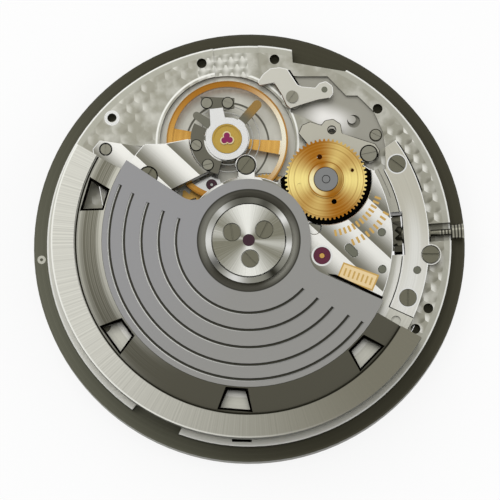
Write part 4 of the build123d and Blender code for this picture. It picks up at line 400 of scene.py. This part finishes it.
def balance_finish():
    """Gilt balance: brown above, with painted highlights in fans, and its rim painted nearly white towards
    the right as a highlight.
    """
    fans = ((0, 2, 0.9), (190, 3, 0.8))
    dark, light = srgb(172, 116, 46), srgb(232, 182, 98)
    made, radius, angle = gilt_fans("gilt balance", BALANCE, dark, light, fans, 5.0, 0.24)
    rim = made.band(radius, *BALANCE_RIM, 0.06)
    made.over(made.both(rim, made.lobe(angle, 5, 4)), srgb(255, 250, 226))
    made.over(made.both(made.step(radius, 3.80, 3.86), 0.6), srgb(150, 98, 36))
    return made.shade_walls(srgb(120, 74, 26)).done()


def core_finish():
    """Brushed outwards from the middle, with painted highlights above and below and weaker ones at the sides.
    """
    made = Shader("radially brushed", srgb(130, 128, 112), 0.3)
    _, angle = made.polar()
    glow = made.fans(angle, ((92, 5, 1.0), (268, 4, 0.95), (163, 60, 0.45), (-12, 60, 0.5)))
    made.over(made.brushed(glow, angle, 26.0, 4.0, 0.4), srgb(246, 246, 238))
    return made.shade_walls(BLACK).done()


def web_finish():
    """Matt grey web, a little lighter towards the left as a painted sheen, with painted shade in its grooves
    and in the hollow collar round the bearing.
    """
    made = Shader("matt grey web", srgb(143, 142, 138), 0.5, 0.35)
    radius, angle = made.polar()
    _, _, z = made.point()
    made.over(made.both(made.lobe(angle, 160, 1.0), 0.6), srgb(148, 148, 152))

    # each groove carries painted shade, with a painted highlight on its outer part that is brightest towards
    # the left
    below = made.step(z, WEB_TOP - 0.01, WEB_TOP - 0.025)
    sunk = made.both(below, made.step(radius, COLLAR_RADIUS, COLLAR_RADIUS + 0.1))
    outer_part = 0.0
    for groove in GROOVE_RADII:
        rising = made.step(radius, groove + 0.025, groove + 0.045)
        falling = made.step(radius, groove + 0.3, groove + 0.2)
        outer_part = made.math("ADD", outer_part, made.both(rising, falling), clamp=True)
    light_edge = made.mix(made.lobe(angle, 190, 0.8), srgb(150, 150, 146), srgb(240, 240, 234))
    made.over(sunk, made.mix(outer_part, srgb(56, 55, 44), light_edge))

    # the collar carries painted shade, with painted highlights as two pale arcs, and darker painted shade at
    # its edge
    arcs = made.math("ABSOLUTE", made.math("COSINE", made.math("ADD", angle, 0.35)))
    shade = made.both(made.step(arcs, 0.45, 1.0), made.step(radius, 3.4, 2.8))
    collar = made.mix(shade, srgb(62, 60, 50), srgb(138, 137, 127))
    made.over(made.step(radius, COLLAR_RADIUS, COLLAR_RADIUS - 0.03), collar)
    made.over(made.band(radius, COLLAR_RADIUS - 0.045, COLLAR_RADIUS + 0.045, 0.03), srgb(48, 47, 38))
    return made.shade_walls(srgb(40, 39, 34)).done()


# The middle direction of the rotor's rim, and radii on the rim
RIM_TURN = 236.0
SLOPE_MIDDLE = 10.35
RIM_EDGE = 12.62


def weight_finish():
    """Heavy rim: a dark sloping band brushed in circles and an outer band brushed outwards, with painted
    highlights and painted shade on both.
    """
    made = Shader("heavy rim", srgb(92, 90, 79), 0.36)
    radius, angle = made.polar(turn=RIM_TURN)

    # a painted highlight makes the sloping band lighter at the left, most of all towards its edges
    left = made.step(angle, math.radians(5), math.radians(-45))
    streaks = made.step(made.noise(radius, 13.0, 5.0), 0.4, 0.7)
    edges = made.step(made.off(radius, SLOPE_MIDDLE), 0.3, 0.85)
    light = made.math("ADD", made.both(streaks, 0.2), made.both(edges, 0.6), clamp=True)
    made.over(made.both(left, light), srgb(190, 189, 178))

    # the outer band, lighter towards one end by painted light, with painted shade in a line inside it and a
    # painted highlight on its edge
    fade = made.step(angle, math.radians(-42), math.radians(75))
    outer = made.mix(fade, srgb(218, 217, 207), srgb(128, 125, 110))
    lines = made.step(made.noise(made.both(angle, 12.0), 9.0, 3.0), 0.25, 0.8)
    outer = made.mix(made.both(lines, 0.28), outer, srgb(120, 119, 108))
    made.over(made.step(radius, BAND_RADIUS, BAND_RADIUS + 0.02), outer)
    made.over(made.band(radius, BAND_RADIUS - 0.08, BAND_RADIUS + 0.03, 0.04), srgb(44, 43, 35))
    bright_edge = made.both(made.step(radius, RIM_EDGE, RIM_EDGE + 0.06), made.step(angle, 1.2, -0.4))
    made.over(bright_edge, srgb(238, 238, 230))
    return made.shade_walls(srgb(74, 73, 63)).done()


# Radii of the streaks of painted highlight on the two bridges
WINDING_STREAK = (10.4, 11.1)
BASE_STREAK = (9.6, 10.0)


def winding_bridge_finish():
    """Pale brushed steel, with painted light that makes it brighter towards its lower end, a soft streak of
    painted highlight, and painted highlights along its edges.
    """
    made = Shader("winding bridge steel", srgb(206, 203, 188), 0.3)
    radius, _ = made.polar()
    _, y, _ = made.point()
    streak = made.both(made.band(radius, *WINDING_STREAK, 0.4), made.step(y, 3.0, -1.0))
    made.over(made.step(y, 2.5, -4.0), srgb(242, 241, 233))
    made.over(made.both(streak, 0.8), srgb(246, 246, 240))
    made.over(made.both(made.noise(radius, 9.0, 3.0), 0.3), srgb(150, 148, 134))
    for edge in WINDING_EDGES:
        made.over(made.step(made.off(radius, edge), 0.07, 0.04), srgb(252, 252, 247))
    return made.shade_walls(srgb(44, 43, 37)).done()


def base_bridge_finish():
    """Fine grained steel, with painted light that makes it brighter below, and a soft streak of painted
    highlight there.
    """
    made = Shader("fine grained bridge", srgb(182, 180, 167), 0.34)
    radius, _ = made.polar()
    _, y, _ = made.point()
    low = made.step(y, 0.5, -2.5)
    made.over(made.both(low, 0.8), srgb(220, 219, 207))
    streak = made.both(made.band(radius, *BASE_STREAK, 0.2), low)
    made.over(streak, srgb(244, 243, 235))
    made.over(made.both(made.noise(radius, 8.0, 3.0), 0.3), srgb(146, 144, 130))
    return made.shade_walls(srgb(54, 53, 46)).done()


def ruby_finish(name):
    """Ruby: nearly black in the middle of the bearing, clearer over the balance."""
    made = Shader(name, srgb(88, 16, 48), 0.08, 0.0)
    middle, _ = made.polar()
    over_balance, _ = made.polar(BALANCE)
    made.over(made.step(over_balance, 1.1, 0.9), srgb(130, 20, 78))
    made.over(made.step(middle, 0.9, 0.7), srgb(52, 14, 32))
    return made.done()


def race_finish():
    """Polished race with painted reflections: dark arcs, and bright ones over them."""
    made = Shader("polished race", srgb(150, 149, 138), 0.16)
    _, angle = made.polar()
    dark_arcs = ((95, 14, 0.6), (208, 40, 0.9), (303, 60, 0.95), (62, 40, 0.7))
    bright_arcs = ((177, 10, 0.9), (28, 60, 1.0), (-14, 60, 1.0), (246, 30, 0.9), (128, 60, 0.7))
    for arcs, color in ((dark_arcs, srgb(46, 45, 38)), (bright_arcs, srgb(248, 248, 244))):
        for direction, power, strength in arcs:
            made.over(made.both(made.lobe(angle, direction, power), strength), color)
    return made.done()


# The stem's thread starts at a place along x. The index arm starts outside the regulator's ring.
THREAD_START = 12.3
THREAD_WAVE = 30.0
INDEX_DIRECTION = 52.0
REGULATOR_RING = 1.46


def stem_finish():
    """Dull steel, with the thread towards its end painted as ridges of painted highlight and painted shade.
    """
    made = Shader("stem steel", srgb(126, 124, 110), 0.28)
    x, _, _ = made.point()
    ridge = made.math("ADD", made.both(made.math("SINE", made.both(x, THREAD_WAVE)), 0.5), 0.5)
    threaded = made.step(x, THREAD_START, THREAD_START + 0.1)
    made.over(threaded, made.mix(ridge, srgb(42, 41, 34), srgb(170, 168, 152)))
    return made.done()


def regulator_finish():
    """White ring, with a brown-grey index arm that has a gilt end."""
    made = Shader("regulator steel", srgb(236, 236, 233), 0.25)
    radius, angle = made.polar(BALANCE, turn=INDEX_DIRECTION)
    outside = made.step(radius, REGULATOR_RING, REGULATOR_RING + 0.06)
    arm = made.both(outside, made.step(made.off(angle, 0.0), 0.7, 0.6))
    made.over(arm, made.mix(made.step(radius, 1.7, 2.6), srgb(112, 109, 94), srgb(160, 128, 76)))
    return made.shade_walls(srgb(60, 58, 50)).done()


# The wall colours given below are painted shade on the upright faces.
base_steel = base_bridge_finish()
screw_steel = plain("screw steel", srgb(114, 112, 97), 0.36, wall_shade=srgb(40, 39, 33))
steel = plain("polished steel", srgb(176, 176, 170), 0.24, wall_shade=srgb(80, 79, 72))
pale_steel = plain("pale steel", srgb(206, 204, 192), 0.3, wall_shade=srgb(48, 47, 40))
crown_steel = plain("crown wheel steel", srgb(98, 96, 85), 0.3, wall_shade=srgb(60, 58, 50))
stud_steel = plain("stud steel", srgb(116, 115, 103), 0.32, wall_shade=srgb(40, 39, 33))
small_screw_steel = plain("small screw steel", srgb(142, 140, 126), 0.34, wall_shade=srgb(34, 33, 27))
lever_steel = plain("lever steel", srgb(190, 187, 172), 0.3, wall_shade=srgb(40, 39, 33))
pinion_steel = plain("pinion steel", srgb(84, 82, 72), 0.3, wall_shade=BLACK)
dark_steel = plain("dark plate", srgb(104, 102, 91), 0.38, wall_shade=srgb(40, 39, 34))
cap_steel = plain("clutch cap", srgb(136, 137, 136), 0.3)
pin_steel = plain("pin steel", srgb(112, 113, 100), 0.4)
mark_steel = plain("mark steel", srgb(196, 195, 182), 0.25)
bright = plain("bright steel", srgb(228, 228, 224), 0.14)
# painted highlights: polished edges and rings, painted near white
edge_highlight = plain("polished edge", srgb(246, 246, 242), 0.2)
# painted shade on the stop plate's edges and round a screw
edge_shade = plain("dark edge", srgb(66, 64, 55), 0.4)
# painted shade, nearly black, for gaps, grooves, the web's edges and the rim's windows
black = plain("black gap", BLACK, 0.5)
# painted shade seen in the gilt wheel's holes
wheel_hole = plain("wheel hole", srgb(58, 30, 12), 0.5)
brass = plain("brass wheel", srgb(206, 164, 92), 0.32)
chaton = plain("gilt setting", srgb(196, 164, 84), 0.25)
pale_gilt = plain("pale gilt", srgb(240, 222, 176), 0.2)
mark_gilt = plain("gilt mark", srgb(206, 168, 98), 0.35)
panel_gilt = plain("gilt panel", srgb(240, 214, 164), 0.35)
clear_ruby = ruby_finish("clear ruby")

finishes = {
    "casing_ring": ring_finish(), "mainplate": plate_finish(), "barrel_bridge": base_steel,
    "train_bridge": base_steel, "winding_bridge": winding_bridge_finish(),
    "automatic_bridge": striped_finish("striped bridge", offset=0.3, shade_recess=True),
    "balance_cock": striped_finish("striped cock", offset=0.9), "cock_plates": dark_steel,
    "pallet_bridge": bright, "stop_plate": lever_steel, "hack_lever": pale_steel, "cover_plate": steel,
    "bridge_screws": screw_steel, "small_screws": small_screw_steel, "barrel_drum": brass,
    "barrel_cover": brass, "barrel_arbor": steel, "mainspring": steel, "ratchet_wheel": bright,
    "ratchet_screw": screw_steel, "crown_wheel": crown_steel, "idler_wheel": bright,
    "wheel_keepers": screw_steel, "reduction_wheel": brass, "reverser_wheel": gold_wheel_finish(),
    "reverser_clutch": cap_steel, "bearing_core": core_finish(), "bearing_screws": screw_steel,
    "bearing_balls": bright, "bearing_race": race_finish(), "rotor_gear": steel,
    "rotor_plate": web_finish(), "rotor_weight": weight_finish(), "centre_wheel": brass,
    "third_wheel": brass, "fourth_wheel": brass, "escape_wheel": brass, "pallet_fork": steel,
    "pallet_stones": clear_ruby, "balance_wheel": balance_finish(), "balance_staff": steel,
    "hairspring": steel, "shock_blocks": chaton, "shock_spring": chaton, "jewels": ruby_finish("ruby"),
    "stud_carrier": stud_steel, "regulator": regulator_finish(), "cannon_pinion": steel,
    "hour_wheel": brass, "minute_wheel": brass, "setting_wheel": steel, "setting_posts": steel,
    "winding_stem": stem_finish(), "winding_pinion": pinion_steel, "sliding_pinion": pinion_steel,
    "setting_lever": steel, "yoke": steel, "click": steel,
}
for name, piece in nodes.items():
    piece.data.materials.clear()
    piece.data.materials.append(finishes[name])

# Polished edges, by their width. The other pieces keep their own edges.
polished_edges = {
    "winding_bridge": 0.06,
    "automatic_bridge": 0.045,
    "balance_cock": 0.045,
    "stop_plate": 0.045,
    "hack_lever": 0.045,
}
WELD_REACH = 0.0001
FLAT_ANGLE = 0.5
EDGE_ANGLE = 40
for name, piece in nodes.items():
    if name not in polished_edges:
        piece.data.shade_smooth()
    else:
        piece.data.shade_flat()
        weld = piece.modifiers.new("weld", "WELD")
        weld.merge_threshold = WELD_REACH * MM
        flats = piece.modifiers.new("flats", "DECIMATE")
        flats.decimate_type = "DISSOLVE"
        flats.angle_limit = math.radians(FLAT_ANGLE)
        bevel = piece.modifiers.new("bevel", "BEVEL")
        bevel.width = polished_edges[name] * MM
        bevel.segments = 1
        bevel.limit_method = "ANGLE"
        bevel.angle_limit = math.radians(EDGE_ANGLE)
        bevel.use_clamp_overlap = name == "winding_bridge"
        # the bevels carry painted shade on the stop plate and painted highlights on the others
        piece.data.materials.append(edge_shade if name == "stop_plate" else edge_highlight)
        bevel.material = 1


# Outlines and meshes. A laid-on piece starts a little inside the face that carries it.

SUNK = 0.005
FLAT_RISE = 0.006
GAP_RISE = 0.008
EDGE_RISE = 0.01
MARK_RISE = 0.012
HIGH_RISE = 0.02


def on_face(face, rise, sunk=SUNK):
    """The lowest and highest height of a piece laid on a face."""
    return face - sunk, face + rise


def turned(centre, angle, along, across):
    """A place so far along a direction in degrees from a centre, and so far across it."""
    c, s = math.cos(math.radians(angle)), math.sin(math.radians(angle))
    return centre[0] + along * c - across * s, centre[1] + along * s + across * c


def between(start, end, share):
    """A place on the way from start to end."""
    return start[0] + (end[0] - start[0]) * share, start[1] + (end[1] - start[1]) * share


def circle_points(centre, radius, count=48):
    steps = [2 * math.pi * n / count for n in range(count)]
    return [(centre[0] + radius * math.cos(turn), centre[1] + radius * math.sin(turn)) for turn in steps]


def slot_points(centre, length, radius, turn, count=13):
    """The outline of a slot with round ends."""
    half = length / 2 - radius
    points = []
    for side in (1, -1):
        for n in range(count):
            around = math.radians(-90 + 180 * n / (count - 1)) + (0 if side > 0 else math.pi)
            x, y = side * half + radius * math.cos(around), radius * math.sin(around)
            points.append(turned(centre, turn, x, y))
    return points


def tick(radius, angle, long, wide, centre=GOLD):
    """A short mark that points outwards from a centre."""
    corners = [(-long, -wide), (long, -wide), (long, wide), (-long, wide)]
    return [turned(centre, angle, radius + a / 2, b / 2) for a, b in corners]


def bar(start, end, width):
    """A straight bar from start to end, half its width longer at both ends."""
    long = math.hypot(end[0] - start[0], end[1] - start[1])
    dx, dy = (end[0] - start[0]) / long * width / 2, (end[1] - start[1]) / long * width / 2
    return [
        (start[0] - dx + dy, start[1] - dy - dx), (end[0] + dx + dy, end[1] + dy - dx),
        (end[0] + dx - dy, end[1] + dy + dx), (start[0] - dx - dy, start[1] - dy + dx),
    ]


def add_mesh(name, points, faces, material):
    mesh = bpy.data.meshes.new(name)
    mesh.from_pydata(points, [], faces)
    mesh.materials.append(material)
    made = bpy.data.objects.new(name, mesh)
    bpy.context.scene.collection.objects.link(made)
    return made


def prism_mesh(name, outlines, heights, material, body="movement"):
    """Flat closed prisms, one on each outline. Millimetres."""
    points = []
    faces = []
    for outline in outlines:
        first, count = len(points), len(outline)
        points += [(x * MM, y * MM, z * MM) for z in heights for x, y in outline]
        faces.append([first + n for n in reversed(range(count))])
        faces.append([first + count + n for n in range(count)])
        for n in range(count):
            after = (n + 1) % count
            faces.append([first + n, first + after, first + count + after, first + count + n])
    made = add_mesh(name, points, faces, material)
    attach(made, body)


def ring_mesh(name, centre, radii, heights, material, body="movement"):
    """A flat closed ring between two radii. Millimetres."""
    low, high = heights
    inside, outside = [circle_points(centre, radius) for radius in radii]
    circles = [(inside, low), (outside, low), (outside, high), (inside, high)]
    count = len(inside)
    points = [(x * MM, y * MM, z * MM) for circle, z in circles for x, y in circle]
    faces = []
    for part in range(4):
        first, second = part * count, (part + 1) % 4 * count
        for n in range(count):
            after = (n + 1) % count
            faces.append([first + n, first + after, second + after, second + n])
    made = add_mesh(name, points, faces, material)
    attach(made, body)


# Gilt marks on the automatic bridge: two rows of ticks, a frame, and a panel with dashes in it

TICK_LONG, TICK_WIDE = 0.42, 0.15
TICK_ROWS = [(3.55, -84, -24, 13), (4.45, -71, -34, 9)]
ticks = [
    tick(radius, start + (end - start) * n / (count - 1), TICK_LONG, TICK_WIDE)
    for radius, start, end, count in TICK_ROWS for n in range(count)
]
prism_mesh("gilt_ticks", ticks, on_face(BRIDGE_TOP, MARK_RISE), mark_gilt)

FRAME_CORNERS = [(6.01, -1.84), (8.16, -2.80), (7.70, -3.71), (5.55, -2.75)]
FRAME_WIDTH = 0.1
for n, corner in enumerate(FRAME_CORNERS):
    side = bar(corner, FRAME_CORNERS[(n + 1) % len(FRAME_CORNERS)], FRAME_WIDTH)
    rise = MARK_RISE * (1 + n % 2 / 2)
    prism_mesh(f"gilt_frame_{n + 1}", [side], on_face(BRIDGE_TOP, rise), mark_gilt)

PANEL_DASHES = 7
DASH_LONG, DASH_WIDE = 0.5, 0.11
prism_mesh("gilt_panel", [FRAME_CORNERS[::-1]], on_face(BRIDGE_TOP, FLAT_RISE), panel_gilt)
upper_left, upper_right, lower_right, lower_left = FRAME_CORNERS
panel_start = between(upper_left, lower_left, 0.5)
panel_end = between(upper_right, lower_right, 0.5)
panel_lean = math.degrees(math.atan2(upper_right[1] - upper_left[1], upper_right[0] - upper_left[0]))
dashes = []
for n in range(PANEL_DASHES):
    place = between(panel_start, panel_end, (n + 1) / (PANEL_DASHES + 1))
    dashes.append(tick(0, panel_lean + 90, DASH_LONG, DASH_WIDE, place))
prism_mesh("gilt_panel_dashes", dashes, on_face(BRIDGE_TOP, EDGE_RISE, 0), mark_gilt)

# Dark pins in the holes of the bridges, and painted highlights on the polished rings round the cover jewel
# and a hole of the plate

PIN_RADIUS = 0.235
PIN_TOP = -0.03
PIN_DEPTH = 0.24
COVER_PINS = [(8.58, 0.0), (8.44, -2.40)]
COVER_SLOT = (6.55, -1.05)
SLOT_LENGTH = 0.97
SLOT_LEAN = -50
WINDING_PIN = (10.72, -2.46)
pins = [circle_points(place, PIN_RADIUS) for place in COVER_PINS]
pins.append(slot_points(COVER_SLOT, SLOT_LENGTH, PIN_RADIUS, SLOT_LEAN))
prism_mesh("cover_pins", pins, on_face(BRIDGE_TOP, PIN_TOP, PIN_DEPTH), pin_steel)
winding_pin = circle_points(WINDING_PIN, PIN_RADIUS)
prism_mesh("winding_pin", [winding_pin], on_face(EDGE_BRIDGE_TOP, PIN_TOP, PIN_DEPTH), pin_steel)

COVER_JEWEL = (4.64, -1.26)
JEWEL_RING = (0.565, 0.68)
PLATE_HOLE = (-8.337, 8.917)
HOLE_RING = (0.3, 0.5)
ring_mesh("cover_jewel_ring", COVER_JEWEL, JEWEL_RING, on_face(BRIDGE_TOP, HIGH_RISE), edge_highlight)
ring_mesh("plate_hole_ring", PLATE_HOLE, HOLE_RING, on_face(PLATE_TOP, FLAT_RISE), edge_highlight)

# Painted shade in the gaps round the small screws of the cock, and painted highlights on the edges round the
# winding bridge's screws

LOW_SCREW, HIGH_SCREW = SCREW_TOPS
COCK_SCREWS = [
    ((-2.120, 9.300), LOW_SCREW),
    ((-0.760, 9.220), LOW_SCREW),
    ((-2.970, 6.520), HIGH_SCREW),
    ((-2.310, 5.199), HIGH_SCREW),
]
SMALL_SCREW = 0.335
SMALL_GAP = (SMALL_SCREW, SMALL_SCREW + 0.055)
for n, (place, top) in enumerate(COCK_SCREWS):
    ring_mesh(f"cock_screw_gap_{n + 1}", place, SMALL_GAP, on_face(top, GAP_RISE), black)

WINDING_SCREWS = [(9.91, 4.54), (10.002, -4.216)]
SCREW_EDGE = (0.575, 0.66)
for n, place in enumerate(WINDING_SCREWS):
    heights = on_face(EDGE_BRIDGE_TOP, EDGE_RISE)
    ring_mesh(f"winding_screw_edge_{n + 1}", place, SCREW_EDGE, heights, edge_highlight)

# Dark details: painted shade in the holes of the gilt wheel, a pin, and painted shade in a gap at the stop
# lever and in a gap round the pocket's screw

DOT_RISE = 0.004
DOT_DEPTH = 0.02
DOT_SIDES = 24
WHEEL_HOLES = [((4.94, 5.168), 0.15), ((6.977, 4.165), 0.11), ((4.451, 4.337), 0.1)]
holes = [circle_points(place, size, DOT_SIDES) for place, size in WHEEL_HOLES]
prism_mesh("wheel_holes", holes, on_face(WHEEL_TOP, DOT_RISE, DOT_DEPTH), wheel_hole, "reverser")
LEVER_PIN = (5.563, 9.746)
LEVER_PIN_RADIUS = 0.2
lever_pin = circle_points(LEVER_PIN, LEVER_PIN_RADIUS, DOT_SIDES)
prism_mesh("lever_pin", [lever_pin], on_face(LEVER_TOP, DOT_RISE, DOT_DEPTH), pin_steel, "stop_lever")
LEVER_GAP = [(3.781, 10.223), (3.958, 10.286), (3.421, 11.273), (3.27, 11.284)]
prism_mesh("lever_gap", [LEVER_GAP], (POCKET_FLOOR, PLATE_TOP + GAP_RISE), black)
POCKET_SCREW = (8.691, 6.660)
POCKET_GAP = (0.345, 0.42)
ring_mesh("pocket_screw_gap", POCKET_SCREW, POCKET_GAP, on_face(POCKET_FLOOR, HIGH_RISE), edge_shade)

# The casing ring's mark, and painted shade in a notch of the plate's rim

RING_MARK = (-13.521, 0.082)
MARK_RING = (0.1, 0.27)
RIM_NOTCH = [(-1.956, -12.685), (-0.713, -12.796), (-0.676, -12.636), (-1.97, -12.508)]
ring_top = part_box("casing_ring")[1][2] / MM
ring_mesh("ring_mark", RING_MARK, MARK_RING, on_face(ring_top, FLAT_RISE), mark_steel)
prism_mesh("rim_notch", [RIM_NOTCH], on_face(PLATE_TOP, FLAT_RISE), black)

# Clear ruby over the balance, in a pale gilt trefoil

LOBE_PLACES = [90, 210, 330]
SETTING_LOBES = {"radius": 0.26, "reach": 0.22}
RUBY_LOBES = {"radius": 0.2, "reach": 0.2}


def trefoil(radius, reach, count=60):
    """The outline of three round lobes about the balance."""
    points = []
    for n in range(count):
        turn = 2 * math.pi * n / count
        off = min(abs((math.degrees(turn) - lobe + 180) % 360 - 180) for lobe in LOBE_PLACES)
        across = min(reach * math.sin(math.radians(off)), radius)
        far = reach * math.cos(math.radians(off)) + math.sqrt(radius ** 2 - across ** 2)
        points.append((BALANCE[0] + far * math.cos(turn), BALANCE[1] + far * math.sin(turn)))
    return points


spring_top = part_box("shock_spring")[1][2] / MM
jewel_top = max(spring_top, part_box("shock_blocks")[1][2] / MM)
prism_mesh("trefoil_setting", [trefoil(**SETTING_LOBES)], on_face(jewel_top, MARK_RISE), pale_gilt)
prism_mesh("trefoil_ruby", [trefoil(**RUBY_LOBES)], on_face(jewel_top, HIGH_RISE, 0), clear_ruby)

# Painted shadow: dark strips under the web's two straight sides. Each has its start, its end, its width and
# the side it lies on: 1 is left of the way from start to end and -1 is right of it.

WEB_EDGES = [
    ((4.95, -2.472), (8.301, -4.352), 0.14, 1),
    ((-4.21, 3.13), (-7.55, 5.68), 0.07, -1),
]
STRIP_HEIGHTS = (4.88, 5.07)
STRIP_INSET = 0.03
STRIP_CUT = 0.5


def edge_strip(start, end, wide, out):
    """A strip of painted shadow along a side of the web, cut back at its outer start corner."""
    long = math.hypot(end[0] - start[0], end[1] - start[1])
    ax, ay = (end[0] - start[0]) / long, (end[1] - start[1]) / long
    ox, oy = -ay * out, ax * out
    strip = [
        (start[0] - ox * STRIP_INSET, start[1] - oy * STRIP_INSET),
        (end[0] - ox * STRIP_INSET, end[1] - oy * STRIP_INSET),
        (end[0] + ox * wide, end[1] + oy * wide),
        (start[0] + ax * STRIP_CUT + ox * wide, start[1] + ay * STRIP_CUT + oy * wide),
    ]
    return strip if out > 0 else strip[::-1]


for n, web_edge in enumerate(WEB_EDGES):
    prism_mesh(f"web_edge_{n + 1}", [edge_strip(*web_edge)], STRIP_HEIGHTS, black, "rotor")

# Painted shade in the windows of the rim: dark frames that stand for their shaded walls

SHADE_WIDTH = 0.13
SHADE_HEIGHTS = (4.3, 4.74)
WINDOW_ANGLES = (159.9, 211.9, 261.5, 312.3)
WINDOW_RADII = (9.56, 11.0)
WINDOW_WIDTHS = (1.41, 2.28)


def window_sides(angle):
    """The four sides of a window's frame of painted shade, as flat outlines."""
    (inner, outer), (narrow, wide) = WINDOW_RADII, WINDOW_WIDTHS
    ring = [(inner, -narrow / 2), (outer, -wide / 2), (outer, wide / 2), (inner, narrow / 2)]
    within = [
        (inner + SHADE_WIDTH, -narrow / 2 + SHADE_WIDTH), (outer - SHADE_WIDTH, -wide / 2 + 1.3 * SHADE_WIDTH),
        (outer - SHADE_WIDTH, wide / 2 - 1.3 * SHADE_WIDTH), (inner + SHADE_WIDTH, narrow / 2 - SHADE_WIDTH),
    ]
    sides = []
    for n in range(4):
        after = (n + 1) % 4
        corners = (ring[n], ring[after], within[after], within[n])
        sides.append([turned((0, 0), angle, *corner) for corner in corners])
    return sides


for n, angle in enumerate(WINDOW_ANGLES):
    prism_mesh(f"window_shade_{n + 1}", window_sides(angle), SHADE_HEIGHTS, black, "rotor")

# The flat cap on the gilt wheel's clutch, with a painted highlight as a ring round its pivot and a ring of
# painted shade outside it

CAP_RADIUS = 0.76
CAP_HEIGHTS = (4.70, 4.735)
PIVOT_RING = (0.1, 0.17)
OUTER_RING = (0.23, 0.27)
PIVOT_RISE = 0.015
cap_top = CAP_HEIGHTS[1]
prism_mesh("clutch_cap", [circle_points(GOLD, CAP_RADIUS)], CAP_HEIGHTS, cap_steel, "clutch")
ring_mesh("clutch_pivot_ring", GOLD, PIVOT_RING, on_face(cap_top, PIVOT_RISE), edge_highlight, "clutch")
ring_mesh("clutch_outer_ring", GOLD, OUTER_RING, on_face(cap_top, EDGE_RISE), black, "clutch")

# Floor and lamps, with their places and sizes in metres

FLOOR_REACH = 1.5
FLOOR_HEIGHTS = (-0.004, -0.0002)
WHITE_SHARE = 0.85
SKY = 0.72


def flat_box(name, low, high, material):
    xs, ys, zs = zip(low, high)
    points = [(x, y, z) for z in zs for y in ys for x in xs]
    faces = [(0, 2, 3, 1), (4, 5, 7, 6), (0, 1, 5, 4), (2, 6, 7, 3), (0, 4, 6, 2), (1, 3, 7, 5)]
    return add_mesh(name, points, faces, material)


def backdrop():
    """A white floor: it shows white to the camera and to glossy rays, and keeps the shadow."""
    made = Shader("floor", (0.93, 0.93, 0.93), 0.9, 0.0)
    path = made.node("ShaderNodeLightPath")
    seen = made.math("MAXIMUM", path.outputs["Is Camera Ray"], path.outputs["Is Glossy Ray"])
    seen = made.math("MAXIMUM", seen, path.outputs["Is Transmission Ray"])
    glow = made.node("ShaderNodeEmission")
    glow.inputs["Color"].default_value = (1, 1, 1, 1)
    blend = made.node("ShaderNodeMixShader")
    made.put(made.both(seen, WHITE_SHARE), blend.inputs[0])
    made.put(made.base.outputs[0], blend.inputs[1])
    made.put(glow.outputs[0], blend.inputs[2])
    made.put(blend.outputs[0], made.tree.nodes["Material Output"].inputs["Surface"])
    return made.material


floor_low = (-FLOOR_REACH, -FLOOR_REACH, FLOOR_HEIGHTS[0])
floor_high = (FLOOR_REACH, FLOOR_REACH, FLOOR_HEIGHTS[1])
floor = flat_box("floor", floor_low, floor_high, backdrop())

world = bpy.data.worlds.new("studio")
world.use_nodes = True
world.node_tree.nodes["Background"].inputs["Color"].default_value = (1, 1, 1, 1)
world.node_tree.nodes["Background"].inputs["Strength"].default_value = SKY
bpy.context.scene.world = world


def lamp(name, place, size, energy):
    """A flat lamp that faces the middle of the movement."""
    data = bpy.data.lights.new(name, "AREA")
    data.shape = "RECTANGLE"
    data.size, data.size_y = size
    data.energy = energy
    made = bpy.data.objects.new(name, data)
    made.location = place
    made.rotation_mode = "QUATERNION"
    made.rotation_quaternion = (-Vector(place)).to_track_quat("-Z", "Y")
    bpy.context.scene.collection.objects.link(made)


lamp("key", place=(-0.12, 0.16, 0.26), size=(0.32, 0.26), energy=0.31)
lamp("side", place=(0.22, -0.05, 0.16), size=(0.22, 0.22), energy=0.1)

# The camera: back is the way from the movement to it, and the roll turns the picture

BACK_SEEN = Vector((-0.00975, 0.12476, 0.99214)).normalized()
ROLL = math.radians(3.9)
SHEAR = 0.00125
PIXELS_PER_MM = 15.39
PIXEL = MM / PIXELS_PER_MM
PICTURE = 500
DISTANCE = 0.35
SENSOR = 36.0
AIM_HEIGHT = 1.7
AIM_RIGHT = 0.7
AIM_DOWN = 3.0

camera_data = bpy.data.cameras.new("camera")
camera = bpy.data.objects.new("camera", camera_data)
bpy.context.scene.collection.objects.link(camera)
bpy.context.scene.camera = camera
x_seen = Vector((math.cos(ROLL), math.sin(ROLL), SHEAR))
x_seen = (x_seen - BACK_SEEN * x_seen.dot(BACK_SEEN)).normalized()
y_seen = BACK_SEEN.cross(x_seen)
right = Vector((x_seen[0], y_seen[0], BACK_SEEN[0]))
up = Vector((x_seen[1], y_seen[1], BACK_SEEN[1]))
back = Vector((x_seen[2], y_seen[2], BACK_SEEN[2]))
aim = Vector((0, 0, AIM_HEIGHT * MM)) + right * (AIM_RIGHT * PIXEL) - up * (AIM_DOWN * PIXEL)
camera.location = aim + back * DISTANCE
camera.rotation_mode = "QUATERNION"
camera.rotation_quaternion = Matrix((right, up, back)).transposed().to_quaternion()
camera_data.sensor_width = SENSOR
camera_data.lens = SENSOR * DISTANCE / (PICTURE * PIXEL)
camera_data.clip_start = 0.01
camera_data.clip_end = 10.0

bpy.context.scene.view_settings.view_transform = "Standard"
